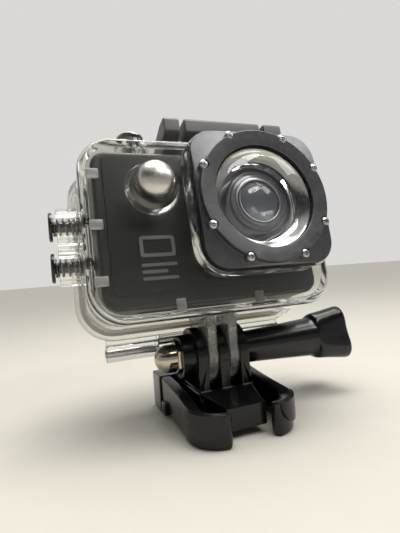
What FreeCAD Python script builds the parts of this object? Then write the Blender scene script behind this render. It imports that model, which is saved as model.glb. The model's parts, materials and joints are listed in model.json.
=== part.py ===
"""Action camera in a clear diving case, on a three-prong quick-release buckle.

Row frame, millimetres: the origin is on the table under the middle of the pinch bolt, +X to the
right of someone facing the lens, the lens looks along -Y, +Z is up.

Everything above the pinch bolt is modelled upright in the case frame, whose origin is the middle
of the bolt, and is then pitched back about the bolt by its Placement.
"""
import math
import os
import re

import FreeCAD
import Part
import Sketcher
from FreeCAD import Placement, Rotation, Vector

DIMENSIONS = [
    # the pose of the case on the buckle
    ("pivot_height", 17.0, "bolt axis above the table"),
    ("case_pitch", 12.0, "lean of the case towards the back, in degrees"),
    ("fit_gap", 0.05, "radial clearance of a pin in its bore"),
    ("side_gap", 0.2, "clearance between the knuckles of the hinge"),
    # the camera body, seen from the front
    ("camera_width", 59.3, "camera body, left to right"),
    ("camera_tall", 41.1, "camera body, bottom to top"),
    ("camera_deep", 22.0, "camera body, front to back"),
    ("camera_corner", 4.0, "camera body, corner radius"),
    ("camera_shift", -0.9, "camera centre, sideways from the middle of the mount"),
    ("camera_rise", 33.0, "camera centre above the bolt axis"),
    ("camera_front", -13.0, "camera front face in the case frame"),
    ("camera_wall", 1.5, "camera cover thickness"),
    ("cover_deep", 6.0, "depth of each camera cover"),
    ("panel_width", 54.0, "raised front panel"),
    ("panel_tall", 36.2, "raised front panel"),
    ("panel_lift", 0.9, "how far the panel sits above the camera's middle"),
    ("panel_corner", 1.8, "raised front panel, corner radius"),
    ("panel_deep", 0.6, "raised front panel"),
    ("screen_width", 44.0, "screen on the back"),
    ("screen_tall", 33.0, "screen on the back"),
    ("print_deep", 0.1, "thickness of the printed mark"),
    ("print_corner", 0.35, "corner radius of a printed bar"),
    # the lens
    ("lens_shift", 11.1, "lens axis, sideways from the middle of the mount"),
    ("lens_rise", 36.9, "lens axis above the bolt axis"),
    ("lens_reach", 6.0, "lens barrel in front of the camera face"),
    ("lens_outer", 21.0, "lens barrel diameter"),
    ("lens_glass", 13.0, "front lens element diameter"),
    # the case
    ("case_width", 66.0, "front shell, left to right"),
    ("case_low", 9.0, "bottom of the front shell above the bolt axis"),
    ("case_high", 56.2, "top of the front shell above the bolt axis"),
    ("case_corner", 9.0, "front shell, corner radius"),
    ("case_front", -16.0, "front face of the shell"),
    ("case_wall", 2.0, "shell wall"),
    ("flange_width", 70.0, "joint flange, left to right"),
    ("flange_low", 6.9, "bottom of the joint flange above the bolt axis"),
    ("flange_high", 57.8, "top of the joint flange above the bolt axis"),
    ("flange_front", 4.4, "front of the shell's flange"),
    ("joint_line", 7.0, "where the shell ends and the door starts"),
    ("joint_gap", 0.2, "gap between the shell and the door"),
    ("door_flange", 3.0, "door flange thickness"),
    ("door_back", 14.4, "outer back face of the door"),
    ("seal_groove", 1.6, "depth of the groove for the door's seal"),
    # the lens turret and its bezel
    ("turret_size", 37.6, "clear square turret"),
    ("turret_corner", 7.0, "clear turret, corner radius"),
    ("turret_front", -21.4, "front face of the turret"),
    ("bezel_size", 36.4, "black bezel square"),
    ("bezel_corner", 6.2, "black bezel, corner radius"),
    ("bezel_front", -25.0, "front face of the bezel's ring"),
    ("bezel_step", 1.6, "how far the bezel corners sit behind its ring"),
    ("ring_outer", 35.7, "diameter of the bezel's raised ring"),
    ("dish_deep", 0.6, "how far the ring slopes back towards the window"),
    ("pad_slope", 1.2, "how far the bezel corners slope back"),
    ("window_open", 27.8, "window opening in the bezel"),
    ("window_disc", 29.6, "diameter of the window glass"),
    ("window_thick", 1.8, "window glass"),
    ("screw_circle", 35.66, "pitch circle of the eight bezel screws"),
    ("screw_angle", 25.7, "first bezel screw from the horizontal, in degrees"),
    ("screw_head", 2.1, "bezel screw head diameter"),
    ("screw_shank", 0.7, "bezel screw shank radius"),
    ("rib_thick", 2.2, "small ribs that steady the camera"),
    # push buttons of the case
    ("front_button_shift", -16.2, "front button, sideways from the middle of the mount"),
    ("front_button_rise", 42.0, "front button above the bolt axis"),
    ("top_button_shift", -17.9, "top button, sideways from the middle of the mount"),
    ("top_button_depth", -4.5, "top button in the case frame"),
    ("side_button_depth", -2.0, "side buttons in the case frame"),
    ("side_button_rise", 32.0, "middle between the side buttons above the bolt axis"),
    ("side_button_pitch", 11.0, "distance between the side buttons"),
    ("boss_outer", 9.6, "side and top button boss diameter"),
    ("side_boss_reach", 5.4, "side boss length"),
    ("top_boss_reach", 4.6, "top boss length"),
    ("plunger_radius", 1.4, "button stem radius"),
    ("groove_at", -0.3, "middle of the O-ring groove, out from the case's wall"),
    ("groove_half", 0.45, "half width of the O-ring groove"),
    ("groove_deep", 0.4, "depth of the O-ring groove"),
    # the door hinge
    ("hinge_depth", 11.6, "door hinge axis behind the bolt axis"),
    ("hinge_rise", 3.6, "door hinge axis above the bolt axis"),
    ("hinge_long", 55.0, "length of the hinge bar"),
    ("hinge_middle", 25.6, "length of the shell's middle knuckle"),
    ("knuckle_radius", 2.5, "hinge knuckle"),
    ("hinge_pin_radius", 1.0, "hinge pin"),
    # the latch
    ("latch_shift", 7.4, "middle of the latch, sideways"),
    ("latch_half", 11.8, "half width of the lever plate"),
    ("ear_inner", 13.2, "inner face of a latch arm from the latch middle"),
    ("ear_outer", 17.8, "outer face of the left latch arm from the latch middle"),
    ("ear_outer_right", 19.2, "outer face of the right latch arm from the latch middle"),
    ("lever_axis_depth", -3.0, "lever pivot in the case frame"),
    ("lever_axis_rise", 59.2, "lever pivot above the bolt axis"),
    ("arm_axis_depth", -10.5, "latch arm pivot in the case frame"),
    ("arm_axis_rise", 58.4, "latch arm pivot above the bolt axis"),
    ("latch_front", -15.0, "front of the finger grip"),
    ("latch_top", 63.9, "top of the finger grip"),
    ("latch_pin_radius", 0.9, "latch pins"),
    ("lug_radius", 1.9, "round end of a latch lug"),
    ("lug_thick", 2.5, "one latch lug"),
    # the mount
    ("prong_thick", 2.8, "one mounting prong"),
    ("prong_step", 3.0, "distance between neighbouring prongs"),
    ("prong_radius", 7.5, "round end of a prong"),
    ("bolt_radius", 2.5, "pinch bolt"),
    ("nut_boss_radius", 5.9, "boss round the nut"),
    ("nut_boss_long", 3.4, "boss round the nut"),
    ("nut_radius", 3.75, "domed nut"),
    ("nut_reach", 6.4, "how far the domed nut stands out of its boss"),
    ("nut_flats", 8.0, "hexagon of the nut across its flats"),
    ("shank_start", 7.5, "where the thumbscrew shank starts"),
    ("shank_end", 32.1, "where the shank meets the knob"),
    ("shank_thin", 4.4, "shank radius at the prongs"),
    ("shank_thick", 5.8, "shank radius at the knob"),
    ("lobe_radius", 3.4, "one lobe of the knob"),
    ("knob_end", 42.8, "outer end of the knob"),
    ("knob_radius", 8.8, "knob over its lobes"),
    ("flute_radius", 6.2, "hollow between two lobes"),
    # the buckle
    ("buckle_width", 29.0, "buckle across its root block"),
    ("root_front", 8.0, "front of the root block"),
    ("root_back", 16.0, "back of the buckle"),
    ("root_top", 10.4, "top of the root block"),
    ("spine_half", 7.5, "half width of the buckle's middle"),
    ("spine_top", 7.2, "top of the buckle's middle"),
    ("block_half", 5.4, "half width of the front block"),
    ("block_front", -18.1, "front of the front block"),
    ("block_low", 1.9, "underside of the front block"),
    ("block_edge", 7.5, "front top edge of the block"),
    ("block_back", 8.8, "top of the ramp at the prongs"),
    ("arm_inner", 11.0, "inner face of a squeeze arm"),
    ("arm_outer", 14.0, "outer face of a squeeze arm"),
    ("arm_low", 0.6, "underside of a squeeze arm"),
    ("arm_high", 10.2, "top of a squeeze arm at its root"),
    ("pad_side", 5.2, "centre of a finger pad's curve, sideways"),
    ("pad_middle", -13.4, "centre of a finger pad's curve, front to back"),
    ("pad_outer", 8.8, "outer radius of a finger pad"),
    ("pad_inner", 5.7, "inner radius of a finger pad"),
    ("pad_high", 8.4, "height of a finger pad"),
    ("pad_end", 88.0, "end of a finger pad, in degrees from the sideways axis"),
    ("grip_proud", 0.7, "how far the raised grip stands out of a finger pad"),
    ("grip_low", 2.4, "underside of the raised grip"),
]

doc = FreeCAD.newDocument("ActionCamera")
sheet = doc.addObject("Spreadsheet::Sheet", "Sizes")
for row, (alias, number, note) in enumerate(DIMENSIONS, start=1):
    sheet.set(f"A{row}", note)
    sheet.set(f"B{row}", str(number))
    sheet.setAlias(f"B{row}", alias)
doc.recompute()

ALIASES = {alias for alias, number, note in DIMENSIONS}
PARTS = []


def linked(text):
    """Turn 'case_width / 2' into 'Sizes.case_width / 2', which an expression can read."""
    return re.sub(r"[a-z]\w*", lambda word: ("Sizes." if word[0] in ALIASES else "") + word[0], str(text))


def size(text):
    """The number that a formula over the sheet gives now."""
    return float(sheet.evalExpression(linked(text)))


def bind(thing, **formulas):
    """Bind properties to formulas; a double underscore in a name stands for a dot."""
    for name, formula in formulas.items():
        thing.setExpression(name.replace("__", "."), linked(formula))
    return thing


def moved(thing, x="0", y="0", z="0"):
    return bind(thing, Placement__Base__x=x, Placement__Base__y=y, Placement__Base__z=z)


# Part primitives, placed by formulas. A primitive along X or Y is turned from +Z.
ALONG = {
    "x": Rotation(Vector(0, 1, 0), 90),
    "y": Rotation(Vector(1, 0, 0), -90),
    "z": Rotation(),
    "-x": Rotation(Vector(0, 1, 0), -90),
    "-y": Rotation(Vector(1, 0, 0), 90),
}


def box(name, x, y, z):
    """A box between two formulas on each axis."""
    block = doc.addObject("Part::Box", name)
    length, width, height = (f"({side[1]}) - ({side[0]})" for side in (x, y, z))
    return moved(bind(block, Length=length, Width=width, Height=height), x[0], y[0], z[0])


def rod(name, radius, length, at, along="z"):
    bar = bind(doc.addObject("Part::Cylinder", name), Radius=radius, Height=length)
    bar.Placement = Placement(Vector(), ALONG[along])
    return moved(bar, *at)


def taper(name, radius_near, radius_far, length, at, along="z"):
    cone = bind(doc.addObject("Part::Cone", name), Radius1=radius_near, Radius2=radius_far, Height=length)
    cone.Placement = Placement(Vector(), ALONG[along])
    return moved(cone, *at)


def ball(name, radius, at):
    return moved(bind(doc.addObject("Part::Sphere", name), Radius=radius), *at)


def ring(name, middle_radius, wire_radius, at, along="z"):
    hoop = bind(doc.addObject("Part::Torus", name), Radius1=middle_radius, Radius2=wire_radius)
    hoop.Placement = Placement(Vector(), ALONG[along])
    return moved(hoop, *at)


def join(name, *shapes):
    fusion = doc.addObject("Part::MultiFuse", name)
    fusion.Shapes = list(shapes)
    fusion.Refine = True
    return fusion


def trim(name, base, *tools):
    """Cut the tools out of the base."""
    cut = doc.addObject("Part::Cut", name)
    cut.Base = base
    cut.Tool = tools[0] if len(tools) == 1 else join(name + "_tools", *tools)
    cut.Refine = True
    return cut


def overlap(name, *shapes):
    common = doc.addObject("Part::MultiCommon", name)
    common.Shapes = list(shapes)
    return common


def group(name, *shapes):
    """Separate solids in one node."""
    gathered = doc.addObject("Part::Compound", name)
    gathered.Links = list(shapes)
    return gathered


# PartDesign bodies: a sketch on one of the body's own planes, then a pad or a pocket.
def body(name):
    return doc.addObject("PartDesign::Body", name)


def sketch_on(part, role, u="0", v="0", w="0"):
    """A sketch parallel to an origin plane, shifted by formulas along its own axes."""
    sketch = part.newObject("Sketcher::SketchObject", part.Name + "_sketch")
    plane = next(item for item in part.Origin.OriginFeatures if item.Role == role)
    sketch.AttachmentSupport = [(plane, "")]
    sketch.MapMode = "FlatFace"
    bind(sketch, AttachmentOffset__Base__x=u, AttachmentOffset__Base__y=v)
    return bind(sketch, AttachmentOffset__Base__z=w)


def draw_circle(sketch, radius):
    count = sketch.addGeometry(Part.Circle(Vector(), Vector(0, 0, 1), size(radius)))
    sketch.addConstraint(Sketcher.Constraint("Coincident", count, 3, -1, 1))
    label = f"radius{count}"
    at = sketch.addConstraint(Sketcher.Constraint("Radius", count, size(radius)))
    sketch.renameConstraint(at, label)
    sketch.setExpression("Constraints." + label, linked(radius))
    return sketch


def draw_rounded(sketch, width, height, radius):
    """A rectangle with round corners about the sketch's origin."""
    half_w, half_h, r = size(width) / 2, size(height) / 2, size(radius)
    corners = [(1, -1), (1, 1), (-1, 1), (-1, -1)]
    first = sketch.GeometryCount
    for turn, (sx, sy) in enumerate(corners):
        centre = Vector(sx * (half_w - r), sy * (half_h - r), 0)
        start = math.radians(90 * turn - 90)
        circle = Part.Circle(centre, Vector(0, 0, 1), r)
        sketch.addGeometry(Part.ArcOfCircle(circle, start, start + math.pi / 2))
    for turn in range(4):
        arc, following = sketch.Geometry[first + turn], sketch.Geometry[first + (turn + 1) % 4]
        sketch.addGeometry(Part.LineSegment(arc.EndPoint, following.StartPoint))
    for turn in range(4):
        sketch.addConstraint(Sketcher.Constraint("Tangent", first + turn, 2, first + 4 + turn, 1))
        sketch.addConstraint(Sketcher.Constraint("Tangent", first + 4 + turn, 2, first + (turn + 1) % 4, 1))
        if turn:
            sketch.addConstraint(Sketcher.Constraint("Equal", first, first + turn))
        upright = "Vertical" if turn % 2 == 0 else "Horizontal"
        sketch.addConstraint(Sketcher.Constraint(upright, first + 4 + turn))
    sketch.addConstraint(Sketcher.Constraint("Symmetric", first + 4, 1, first + 6, 1, -1, 1))
    named = [
        (f"corner{first}", Sketcher.Constraint("Radius", first, r), radius),
        (f"width{first}", Sketcher.Constraint("DistanceX", first + 6, 1, first + 4, 1, 2 * half_w), width),
        (f"height{first}", Sketcher.Constraint("DistanceY", first + 7, 1, first + 5, 1, 2 * half_h), height),
    ]
    for label, constraint, formula in named:
        sketch.renameConstraint(sketch.addConstraint(constraint), label)
        sketch.setExpression("Constraints." + label, linked(formula))
    return sketch


def draw_outline(sketch, corners):
    """A closed outline of straight lines through corners given as pairs of formulas."""
    points = [Vector(size(u), size(v), 0) for u, v in corners]
    first = sketch.GeometryCount
    for at, point in enumerate(points):
        sketch.addGeometry(Part.LineSegment(point, points[(at + 1) % len(points)]))
    for at, (u, v) in enumerate(corners):
        line, following = first + at, first + (at + 1) % len(points)
        sketch.addConstraint(Sketcher.Constraint("Coincident", line, 2, following, 1))
        for kind, formula in (("DistanceX", u), ("DistanceY", v)):
            label = f"{kind}_{line}"
            made = sketch.addConstraint(Sketcher.Constraint(kind, -1, 1, line, 1, size(formula)))
            sketch.renameConstraint(made, label)
            sketch.setExpression("Constraints." + label, linked(formula))
    return sketch


def feature(part, kind, sketch, length, flipped=False):
    made = part.newObject("PartDesign::" + kind, part.Name + "_" + kind.lower())
    made.Profile = sketch
    made.Reversed = flipped
    bind(made, Length=length)
    sketch.Visibility = False
    doc.recompute()
    return made


def slab(part, width, height, radius, shift, rise, front, back, hollow=False):
    """Pad, or pocket when hollow, a rounded rectangle seen from the front between two depths."""
    start = front if hollow else back
    sketch = sketch_on(part, "XZ_Plane", shift, rise, f"-({start})")
    draw_rounded(sketch, width, height, radius)
    return feature(part, "Pocket" if hollow else "Pad", sketch, f"({back}) - ({front})")


def disc(part, radius, shift, rise, front, back, hollow=False):
    """The same for a circle."""
    start = front if hollow else back
    sketch = draw_circle(sketch_on(part, "XZ_Plane", shift, rise, f"-({start})"), radius)
    return feature(part, "Pocket" if hollow else "Pad", sketch, f"({back}) - ({front})")


def profile(name, corners, x_from, x_to):
    """A side profile, corners as (y, z) formulas, padded along X between two formulas."""
    part = body(name)
    sketch = draw_outline(sketch_on(part, "YZ_Plane", w=x_from), corners)
    feature(part, "Pad", sketch, f"({x_to}) - ({x_from})")
    return part


def plan(name, corners, z_from, z_to):
    """A plan outline, corners as (x, y) formulas, padded along Z between two formulas."""
    part = body(name)
    sketch = draw_outline(sketch_on(part, "XY_Plane", w=z_from), corners)
    feature(part, "Pad", sketch, f"({z_to}) - ({z_from})")
    return part


def turned(name, corners, at, along):
    """A turned piece: corners as (radius, height) formulas, standing at a point along a direction."""
    part = body(name)
    sketch = draw_outline(sketch_on(part, "XZ_Plane"), corners)
    spin = part.newObject("PartDesign::Revolution", name + "_spin")
    spin.Profile = sketch
    spin.ReferenceAxis = (sketch, ["V_Axis"])
    spin.Angle = 360
    part.Placement = Placement(Vector(), ALONG[along])
    doc.recompute()
    return moved(part, *at)


def rounded(part, radius, wanted):
    """Fillet the edges of a body that the test accepts, given their bounding boxes."""
    doc.recompute()
    last = part.Tip
    edges = [f"Edge{at}" for at, edge in enumerate(last.Shape.Edges, start=1) if wanted(edge.BoundBox)]
    fillet = part.newObject("PartDesign::Fillet", part.Name + "_fillet")
    fillet.Base = (last, edges)
    bind(fillet, Radius=radius)
    doc.recompute()
    return fillet


CASE_PLACE = Placement(
    Vector(0, 0, size("pivot_height")), Rotation(Vector(1, 0, 0), -size("case_pitch"))
)


def finish(thing, label, in_case=True):
    """Name a sub-part and put it where it belongs in the row frame."""
    if thing.ExpressionEngine and thing.TypeId != "Part::Feature":
        thing = group(thing.Name + "Piece", thing)
    thing.Label = label
    if in_case:
        thing.Placement = CASE_PLACE * thing.Placement
    PARTS.append(thing)
    return thing


# ---------------------------------------------------------------- the camera
CAMERA_AT = ("camera_shift", "camera_rise")
FRONT_COVER_BACK = "camera_front + cover_deep"
BACK_COVER_FRONT = "camera_front + camera_deep - cover_deep"
CAMERA_OUTSIDE = ("camera_width", "camera_tall", "camera_corner")
CAMERA_INSIDE = (
    "camera_width - 2 * camera_wall",
    "camera_tall - 2 * camera_wall",
    "camera_corner - camera_wall",
)
LENS_AT = ("lens_shift", "lens_rise")
BUTTON_HOLE = "4.2"
FRONT_BUTTON_AT = ("front_button_shift", "front_button_rise")


def camera_front_cover():
    part = body("FrontCover")
    slab(part, *CAMERA_OUTSIDE, *CAMERA_AT, "camera_front", FRONT_COVER_BACK)
    slab(part, *CAMERA_INSIDE, *CAMERA_AT, "camera_front + camera_wall", FRONT_COVER_BACK, hollow=True)
    through = ("camera_front - 1", "camera_front + 3")
    disc(part, "lens_outer / 2 - 1", *LENS_AT, *through, hollow=True)
    disc(part, BUTTON_HOLE, *FRONT_BUTTON_AT, *through, hollow=True)
    rounded(part, "1", lambda b: b.YMax < size("camera_front") + 0.01 and b.XLength + b.ZLength > 25)
    return finish(part, "camera_front_cover")


def camera_front_panel():
    part = body("FrontPanel")
    at = ("camera_front - panel_deep", "camera_front")
    middle = ("camera_shift", "camera_rise + panel_lift")
    slab(part, "panel_width", "panel_tall", "panel_corner", *middle, *at)
    through = ("camera_front - 2", "camera_front + 1")
    disc(part, "lens_outer / 2 + 0.1", *LENS_AT, *through, hollow=True)
    disc(part, BUTTON_HOLE, *FRONT_BUTTON_AT, *through, hollow=True)
    return finish(part, "camera_front_panel")


def camera_print():
    """A plain generic mark: a small filmstrip frame above three bars."""
    depth = ("camera_front - panel_deep - print_deep", "camera_front - panel_deep")
    frame_wide, frame_tall, frame_line, frame_rise = 9.0, 5.4, 0.9, 27.6
    frame = body("PrintFrame")
    slab(frame, frame_wide, frame_tall, "0.9", "front_button_shift", frame_rise, *depth)
    opening = (frame_wide - 2 * frame_line, frame_tall - 2 * frame_line)
    slab(frame, *opening, "0.4", "front_button_shift", frame_rise, *depth, hollow=True)
    bars = []
    bar_tall, bar_rise, bar_step = 0.8, 22.9, 1.7
    for at, length in enumerate((9.0, 6.4, 9.0)):
        bar = body(f"PrintBar{at}")
        middle = f"front_button_shift + {(length - frame_wide) / 2}"
        slab(bar, length, bar_tall, "print_corner", middle, bar_rise - bar_step * at, *depth)
        bars.append(bar)
    return finish(group("Print", frame, *bars), "camera_print")


def camera_frame():
    part = body("MiddleFrame")
    slab(part, *CAMERA_OUTSIDE, *CAMERA_AT, FRONT_COVER_BACK, BACK_COVER_FRONT)
    slab(part, *CAMERA_INSIDE, *CAMERA_AT, FRONT_COVER_BACK, BACK_COVER_FRONT, hollow=True)
    doc.recompute()
    edge = "camera_shift - camera_width / 2"
    holes = [
        rod(f"SideHole{at}", "2.7", "5", (f"{edge} - 2", "side_button_depth", side_rise(at)), "x")
        for at in (-1, 1)
    ]
    top_at = ("top_button_shift", "top_button_depth", "camera_rise + camera_tall / 2 - 3")
    holes.append(rod("TopHole", "3.2", "5", top_at))
    return finish(trim("Frame", part, *holes), "camera_frame")


def camera_back_cover():
    part = body("BackCover")
    back = "camera_front + camera_deep"
    slab(part, *CAMERA_OUTSIDE, *CAMERA_AT, BACK_COVER_FRONT, back)
    slab(part, *CAMERA_INSIDE, *CAMERA_AT, BACK_COVER_FRONT, f"{back} - camera_wall", hollow=True)
    opening = ("screen_width + 0.2", "screen_tall + 0.2", "1.1")
    slab(part, *opening, *CAMERA_AT, f"{back} - 0.8", f"{back} + 1", hollow=True)
    rounded(part, "1", lambda b: b.YMin > size(back) - 0.01 and b.XLength > 48)
    return finish(part, "camera_back_cover")


def camera_screen():
    part = body("Screen")
    back = "camera_front + camera_deep"
    slab(part, "screen_width", "screen_tall", "1", *CAMERA_AT, f"{back} - 0.8", f"{back} - 0.1")
    return finish(part, "camera_screen")


def battery_door():
    """The flap under the camera that closes the battery bay; the case holds it shut."""
    low = "camera_rise - camera_tall / 2"
    depth = ("camera_front + 7", "camera_front + 15")
    flap = box("BatteryDoor", ("-21.6", "4.4"), depth, (f"{low} - 0.35", low))
    return finish(flap, "battery_door")


# ---------------------------------------------------------------- lens and electronics
LENS_FRONT = "camera_front - lens_reach"


def lens_barrel():
    part = body("LensBarrel")
    front = LENS_FRONT
    disc(part, "lens_outer / 2", *LENS_AT, front, "camera_front")
    disc(part, "lens_outer / 2 - 1.2", *LENS_AT, "camera_front", "camera_front + 8")
    disc(part, "lens_outer / 2 - 1.4", *LENS_AT, front, f"{front} + 1.2", True)
    disc(part, "lens_glass / 2 + 1", *LENS_AT, front, f"{front} + 3.2", True)
    disc(part, "4.5", *LENS_AT, front, "camera_front + 7", True)
    return finish(part, "lens_barrel")


def lens_ring():
    """The stepped ring round the front element."""
    part = body("LensRing")
    front = LENS_FRONT
    disc(part, "lens_glass / 2 + 1", *LENS_AT, f"{front} + 0.6", f"{front} + 3.2")
    disc(part, "lens_glass / 2", *LENS_AT, f"{front} + 0.6", f"{front} + 3.2", True)
    return finish(part, "lens_ring")


def lens_front_glass():
    """A meniscus: a flat-backed cap of a sphere."""
    apex = f"{LENS_FRONT} - 0.4"
    curve = 9
    rim = rod("GlassRim", "lens_glass / 2", "3.6", ("lens_shift", apex, "lens_rise"), "y")
    sphere = ball("GlassBall", curve, ("lens_shift", f"{apex} + {curve}", "lens_rise"))
    return finish(overlap("GlassCap", rim, sphere), "lens_front_glass")


def lens_rear_group():
    part = body("RearGroup")
    disc(part, "4.4", *LENS_AT, "camera_front - 2.5", "camera_front + 4")
    return finish(part, "lens_rear_group")


def image_sensor():
    half = 3.6
    x = (f"lens_shift - {half}", f"lens_shift + {half}")
    z = (f"lens_rise - {half}", f"lens_rise + {half}")
    return finish(box("Sensor", x, ("camera_front + 8.2", "camera_front + 9.4"), z), "image_sensor")


def main_board():
    edge = "camera_width / 2 - camera_wall - 3.2"
    board = body("Board")
    depth = ("camera_front + 9.4", "camera_front + 10.6")
    slab(board, f"2 * ({edge})", "camera_tall - 2 * camera_wall - 3", "1.5", *CAMERA_AT, *depth)
    doc.recompute()
    # left edge, lower edge, width and height of each chip
    layout = ((-19.6, 40, 9, 9), (-5.6, 42, 6, 5), (-17.6, 24, 7, 5), (8.4, 22, 10, 6))
    chip_depth = ("camera_front + 8.4", "camera_front + 9.4")
    chips = []
    for at, (x, z, wide, tall) in enumerate(layout):
        chips.append(box(f"Chip{at}", (x, x + wide), chip_depth, (z, z + tall)))
    return finish(join("MainBoard", board, *chips), "main_board")


def battery():
    part = body("Battery")
    depth = ("camera_front + 11", "camera_front + 16")
    slab(part, "33", "29", "1.5", "camera_shift - 4", "camera_rise - 1", *depth)
    return finish(part, "battery")


def memory_card():
    x = ("camera_shift + 14.4", "camera_shift + 25.4")
    z = ("camera_rise - 17.5", "camera_rise - 2.5")
    return finish(box("Card", x, ("camera_front + 11", "camera_front + 12"), z), "memory_card")


# ---------------------------------------------------------------- push buttons
def side_rise(side):
    return f"side_button_rise + {side} * side_button_pitch / 2"


# Each button stands at a point on the case's outer wall and looks along one direction.
# name: (point on the outer wall, direction out, gap from the wall to the camera's own button)
BUTTONS = {
    "front_button": (("front_button_shift", "case_front", "front_button_rise"), "-y"),
    "top_button": (("top_button_shift", "top_button_depth", "case_high"), "z"),
    "side_button_upper": (("camera_shift - case_width / 2", "side_button_depth", side_rise(1)), "-x"),
    "side_button_lower": (("camera_shift - case_width / 2", "side_button_depth", side_rise(-1)), "-x"),
}
# the distance from the outer wall down to the tip of the camera's own button
TIP_DEPTH = {
    "front_button": "camera_front - case_front - 0.5",
    "top_button": "case_high - camera_rise - camera_tall / 2 - 0.4",
    "side_button_upper": "(case_width - camera_width) / 2 - 0.4",
    "side_button_lower": "(case_width - camera_width) / 2 - 0.4",
}
CAP_OUT = {"front_button": 8.2, "top_button": 6.8, "side_button_upper": 7.3, "side_button_lower": 7.3}
CAP_RADIUS = {"front_button": 4.6, "top_button": 3.9, "side_button_upper": 3.8, "side_button_lower": 3.8}


def outward(button, distance):
    """The point at a distance out from a button's place on the wall."""
    (x, y, z), along = BUTTONS[button]
    steps = {
        "-y": ("0", f"-({distance})", "0"),
        "z": ("0", "0", distance),
        "-x": (f"-({distance})", "0", "0"),
    }
    step = steps[along]
    return tuple(f"{base} + {shift}" for base, shift in zip((x, y, z), step))


def button_set(button):
    """A cap on a grooved stem, its O-ring, and the camera button under it."""
    along = BUTTONS[button][1]
    title = button.title().replace("_", "")
    deep, out, cap_radius = TIP_DEPTH[button], CAP_OUT[button], CAP_RADIUS[button]
    domed = button == "front_button"
    under_cap = f"({out}) - {4.2 if domed else 0.9}"
    cap_side = f"({out}) - {2.8 if domed else 0.2}"
    stem_corners = [
        ("0", f"-({deep}) + 0.1"),
        ("plunger_radius", f"-({deep}) + 0.1"),
        ("plunger_radius", "groove_at - groove_half"),
        ("plunger_radius - groove_deep", "groove_at - groove_half"),
        ("plunger_radius - groove_deep", "groove_at + groove_half"),
        ("plunger_radius", "groove_at + groove_half"),
        ("plunger_radius", under_cap),
        (cap_radius, under_cap),
        (cap_radius, cap_side),
    ]
    if domed:
        shaft = turned(title + "Shaft", stem_corners + [("0", cap_side)], outward(button, "0"), along)
        barrel = rod(title + "Barrel", cap_radius, "3.1", outward(button, f"{cap_side} - 0.3"), along)
        sphere = ball(title + "Ball", "5.2", outward(button, f"({out}) - 5.2"))
        dome = overlap(title + "Dome", barrel, sphere)
        finish(join(title + "Plunger", shaft, dome), button)
    else:
        crown = [(f"{cap_radius} - 0.4", out), ("0", out)]
        finish(turned(title + "Plunger", stem_corners + crown, outward(button, "0"), along), button)
    seal = ring(title + "Seal", "plunger_radius + 0.03", "groove_deep", outward(button, "groove_at"), along)
    finish(seal, button + "_oring")
    wide, tall = ("4", "1.4") if domed else ("2.5", "1.6")
    own = rod(title + "Own", wide, tall, outward(button, f"-({deep}) - {tall}"), along)
    finish(own, "camera_" + button)


# the coils: wire radius, turns, play at the ends, coil radius, flats of the wire
SPRING_WIRE = 0.22
SPRING_COILS = 4
SPRING_SLACK = 0.1
SPRING_RADIUS = 2.2
WIRE_SIDES = 8
# where each spring starts and ends, out from the wall
SPRING_ENDS = {
    "front_button": ("0.2", "3.8"),
    "top_button": ("0.2", "5.8"),
    "side_button_upper": ("0.2", "6.3"),
    "side_button_lower": ("0.2", "6.3"),
}


def button_spring(button):
    """A coil between the boss floor and the cap; its wire has flat sides."""
    along = BUTTONS[button][1]
    title = button.title().replace("_", "")
    floor_at, top_at = SPRING_ENDS[button]
    span = size(f"({top_at}) - ({floor_at})") - 2 * SPRING_WIRE - SPRING_SLACK
    helix = Part.makeHelix(span / SPRING_COILS, span, SPRING_RADIUS)
    corners = []
    for at in range(WIRE_SIDES + 1):
        turn = 2 * math.pi * (at + 0.5) / WIRE_SIDES
        corners.append(Vector(SPRING_RADIUS + SPRING_WIRE * math.cos(turn), 0, SPRING_WIRE * math.sin(turn)))
    spring = doc.addObject("Part::Feature", title + "Spring")
    spring.Shape = Part.Wire(helix).makePipeShell([Part.makePolygon(corners)], True, True)
    start = outward(button, f"({floor_at}) + {SPRING_WIRE + SPRING_SLACK / 2}")
    base = Vector(*(size(part) for part in start))
    spring.Placement = Placement(base, ALONG[along])
    return finish(spring, button + "_spring")


# ---------------------------------------------------------------- the case
CASE_TALL = "case_high - case_low"
CASE_MID = "(case_high + case_low) / 2"
FLANGE_TALL = "flange_high - flange_low"
FLANGE_MID = "(flange_high + flange_low) / 2"


def prong(name, x, bottom, half_root, in_case):
    """A flat prong: round about the bolt, straight-sided to its root, with the bolt's bore."""
    thick = "prong_thick"
    left = f"{x} - {thick} / 2"
    axis_z = "0" if in_case else "pivot_height"
    eye = rod(name + "Eye", "prong_radius", thick, (left, "0", axis_z), "x")
    reach = "prong_radius * 0.97"
    web_corners = [
        (f"-({reach})", axis_z),
        (reach, axis_z),
        (half_root[1], bottom),
        (half_root[0], bottom),
    ]
    web = profile(name + "Web", web_corners, left, f"{x} + {thick} / 2")
    return join(name, eye, web)


# left faces of the two latch lugs, heights of the side ribs, places of the low ribs
LUGS = ("latch_shift - 7.3", "latch_shift + 4.8")
SIDE_RIBS = (46.9, 33.6, 19.7)
LOW_RIBS = (-12.1, 9.5)
LEVER_AXIS = ("lever_axis_depth", "lever_axis_rise")
HINGE_AXIS = ("hinge_depth", "hinge_rise")
HINGE_START = "camera_shift - hinge_long / 2"
FRONT_WELL = ("4.9", "4")
SMALL_WELL = ("3.1", "6")


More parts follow.
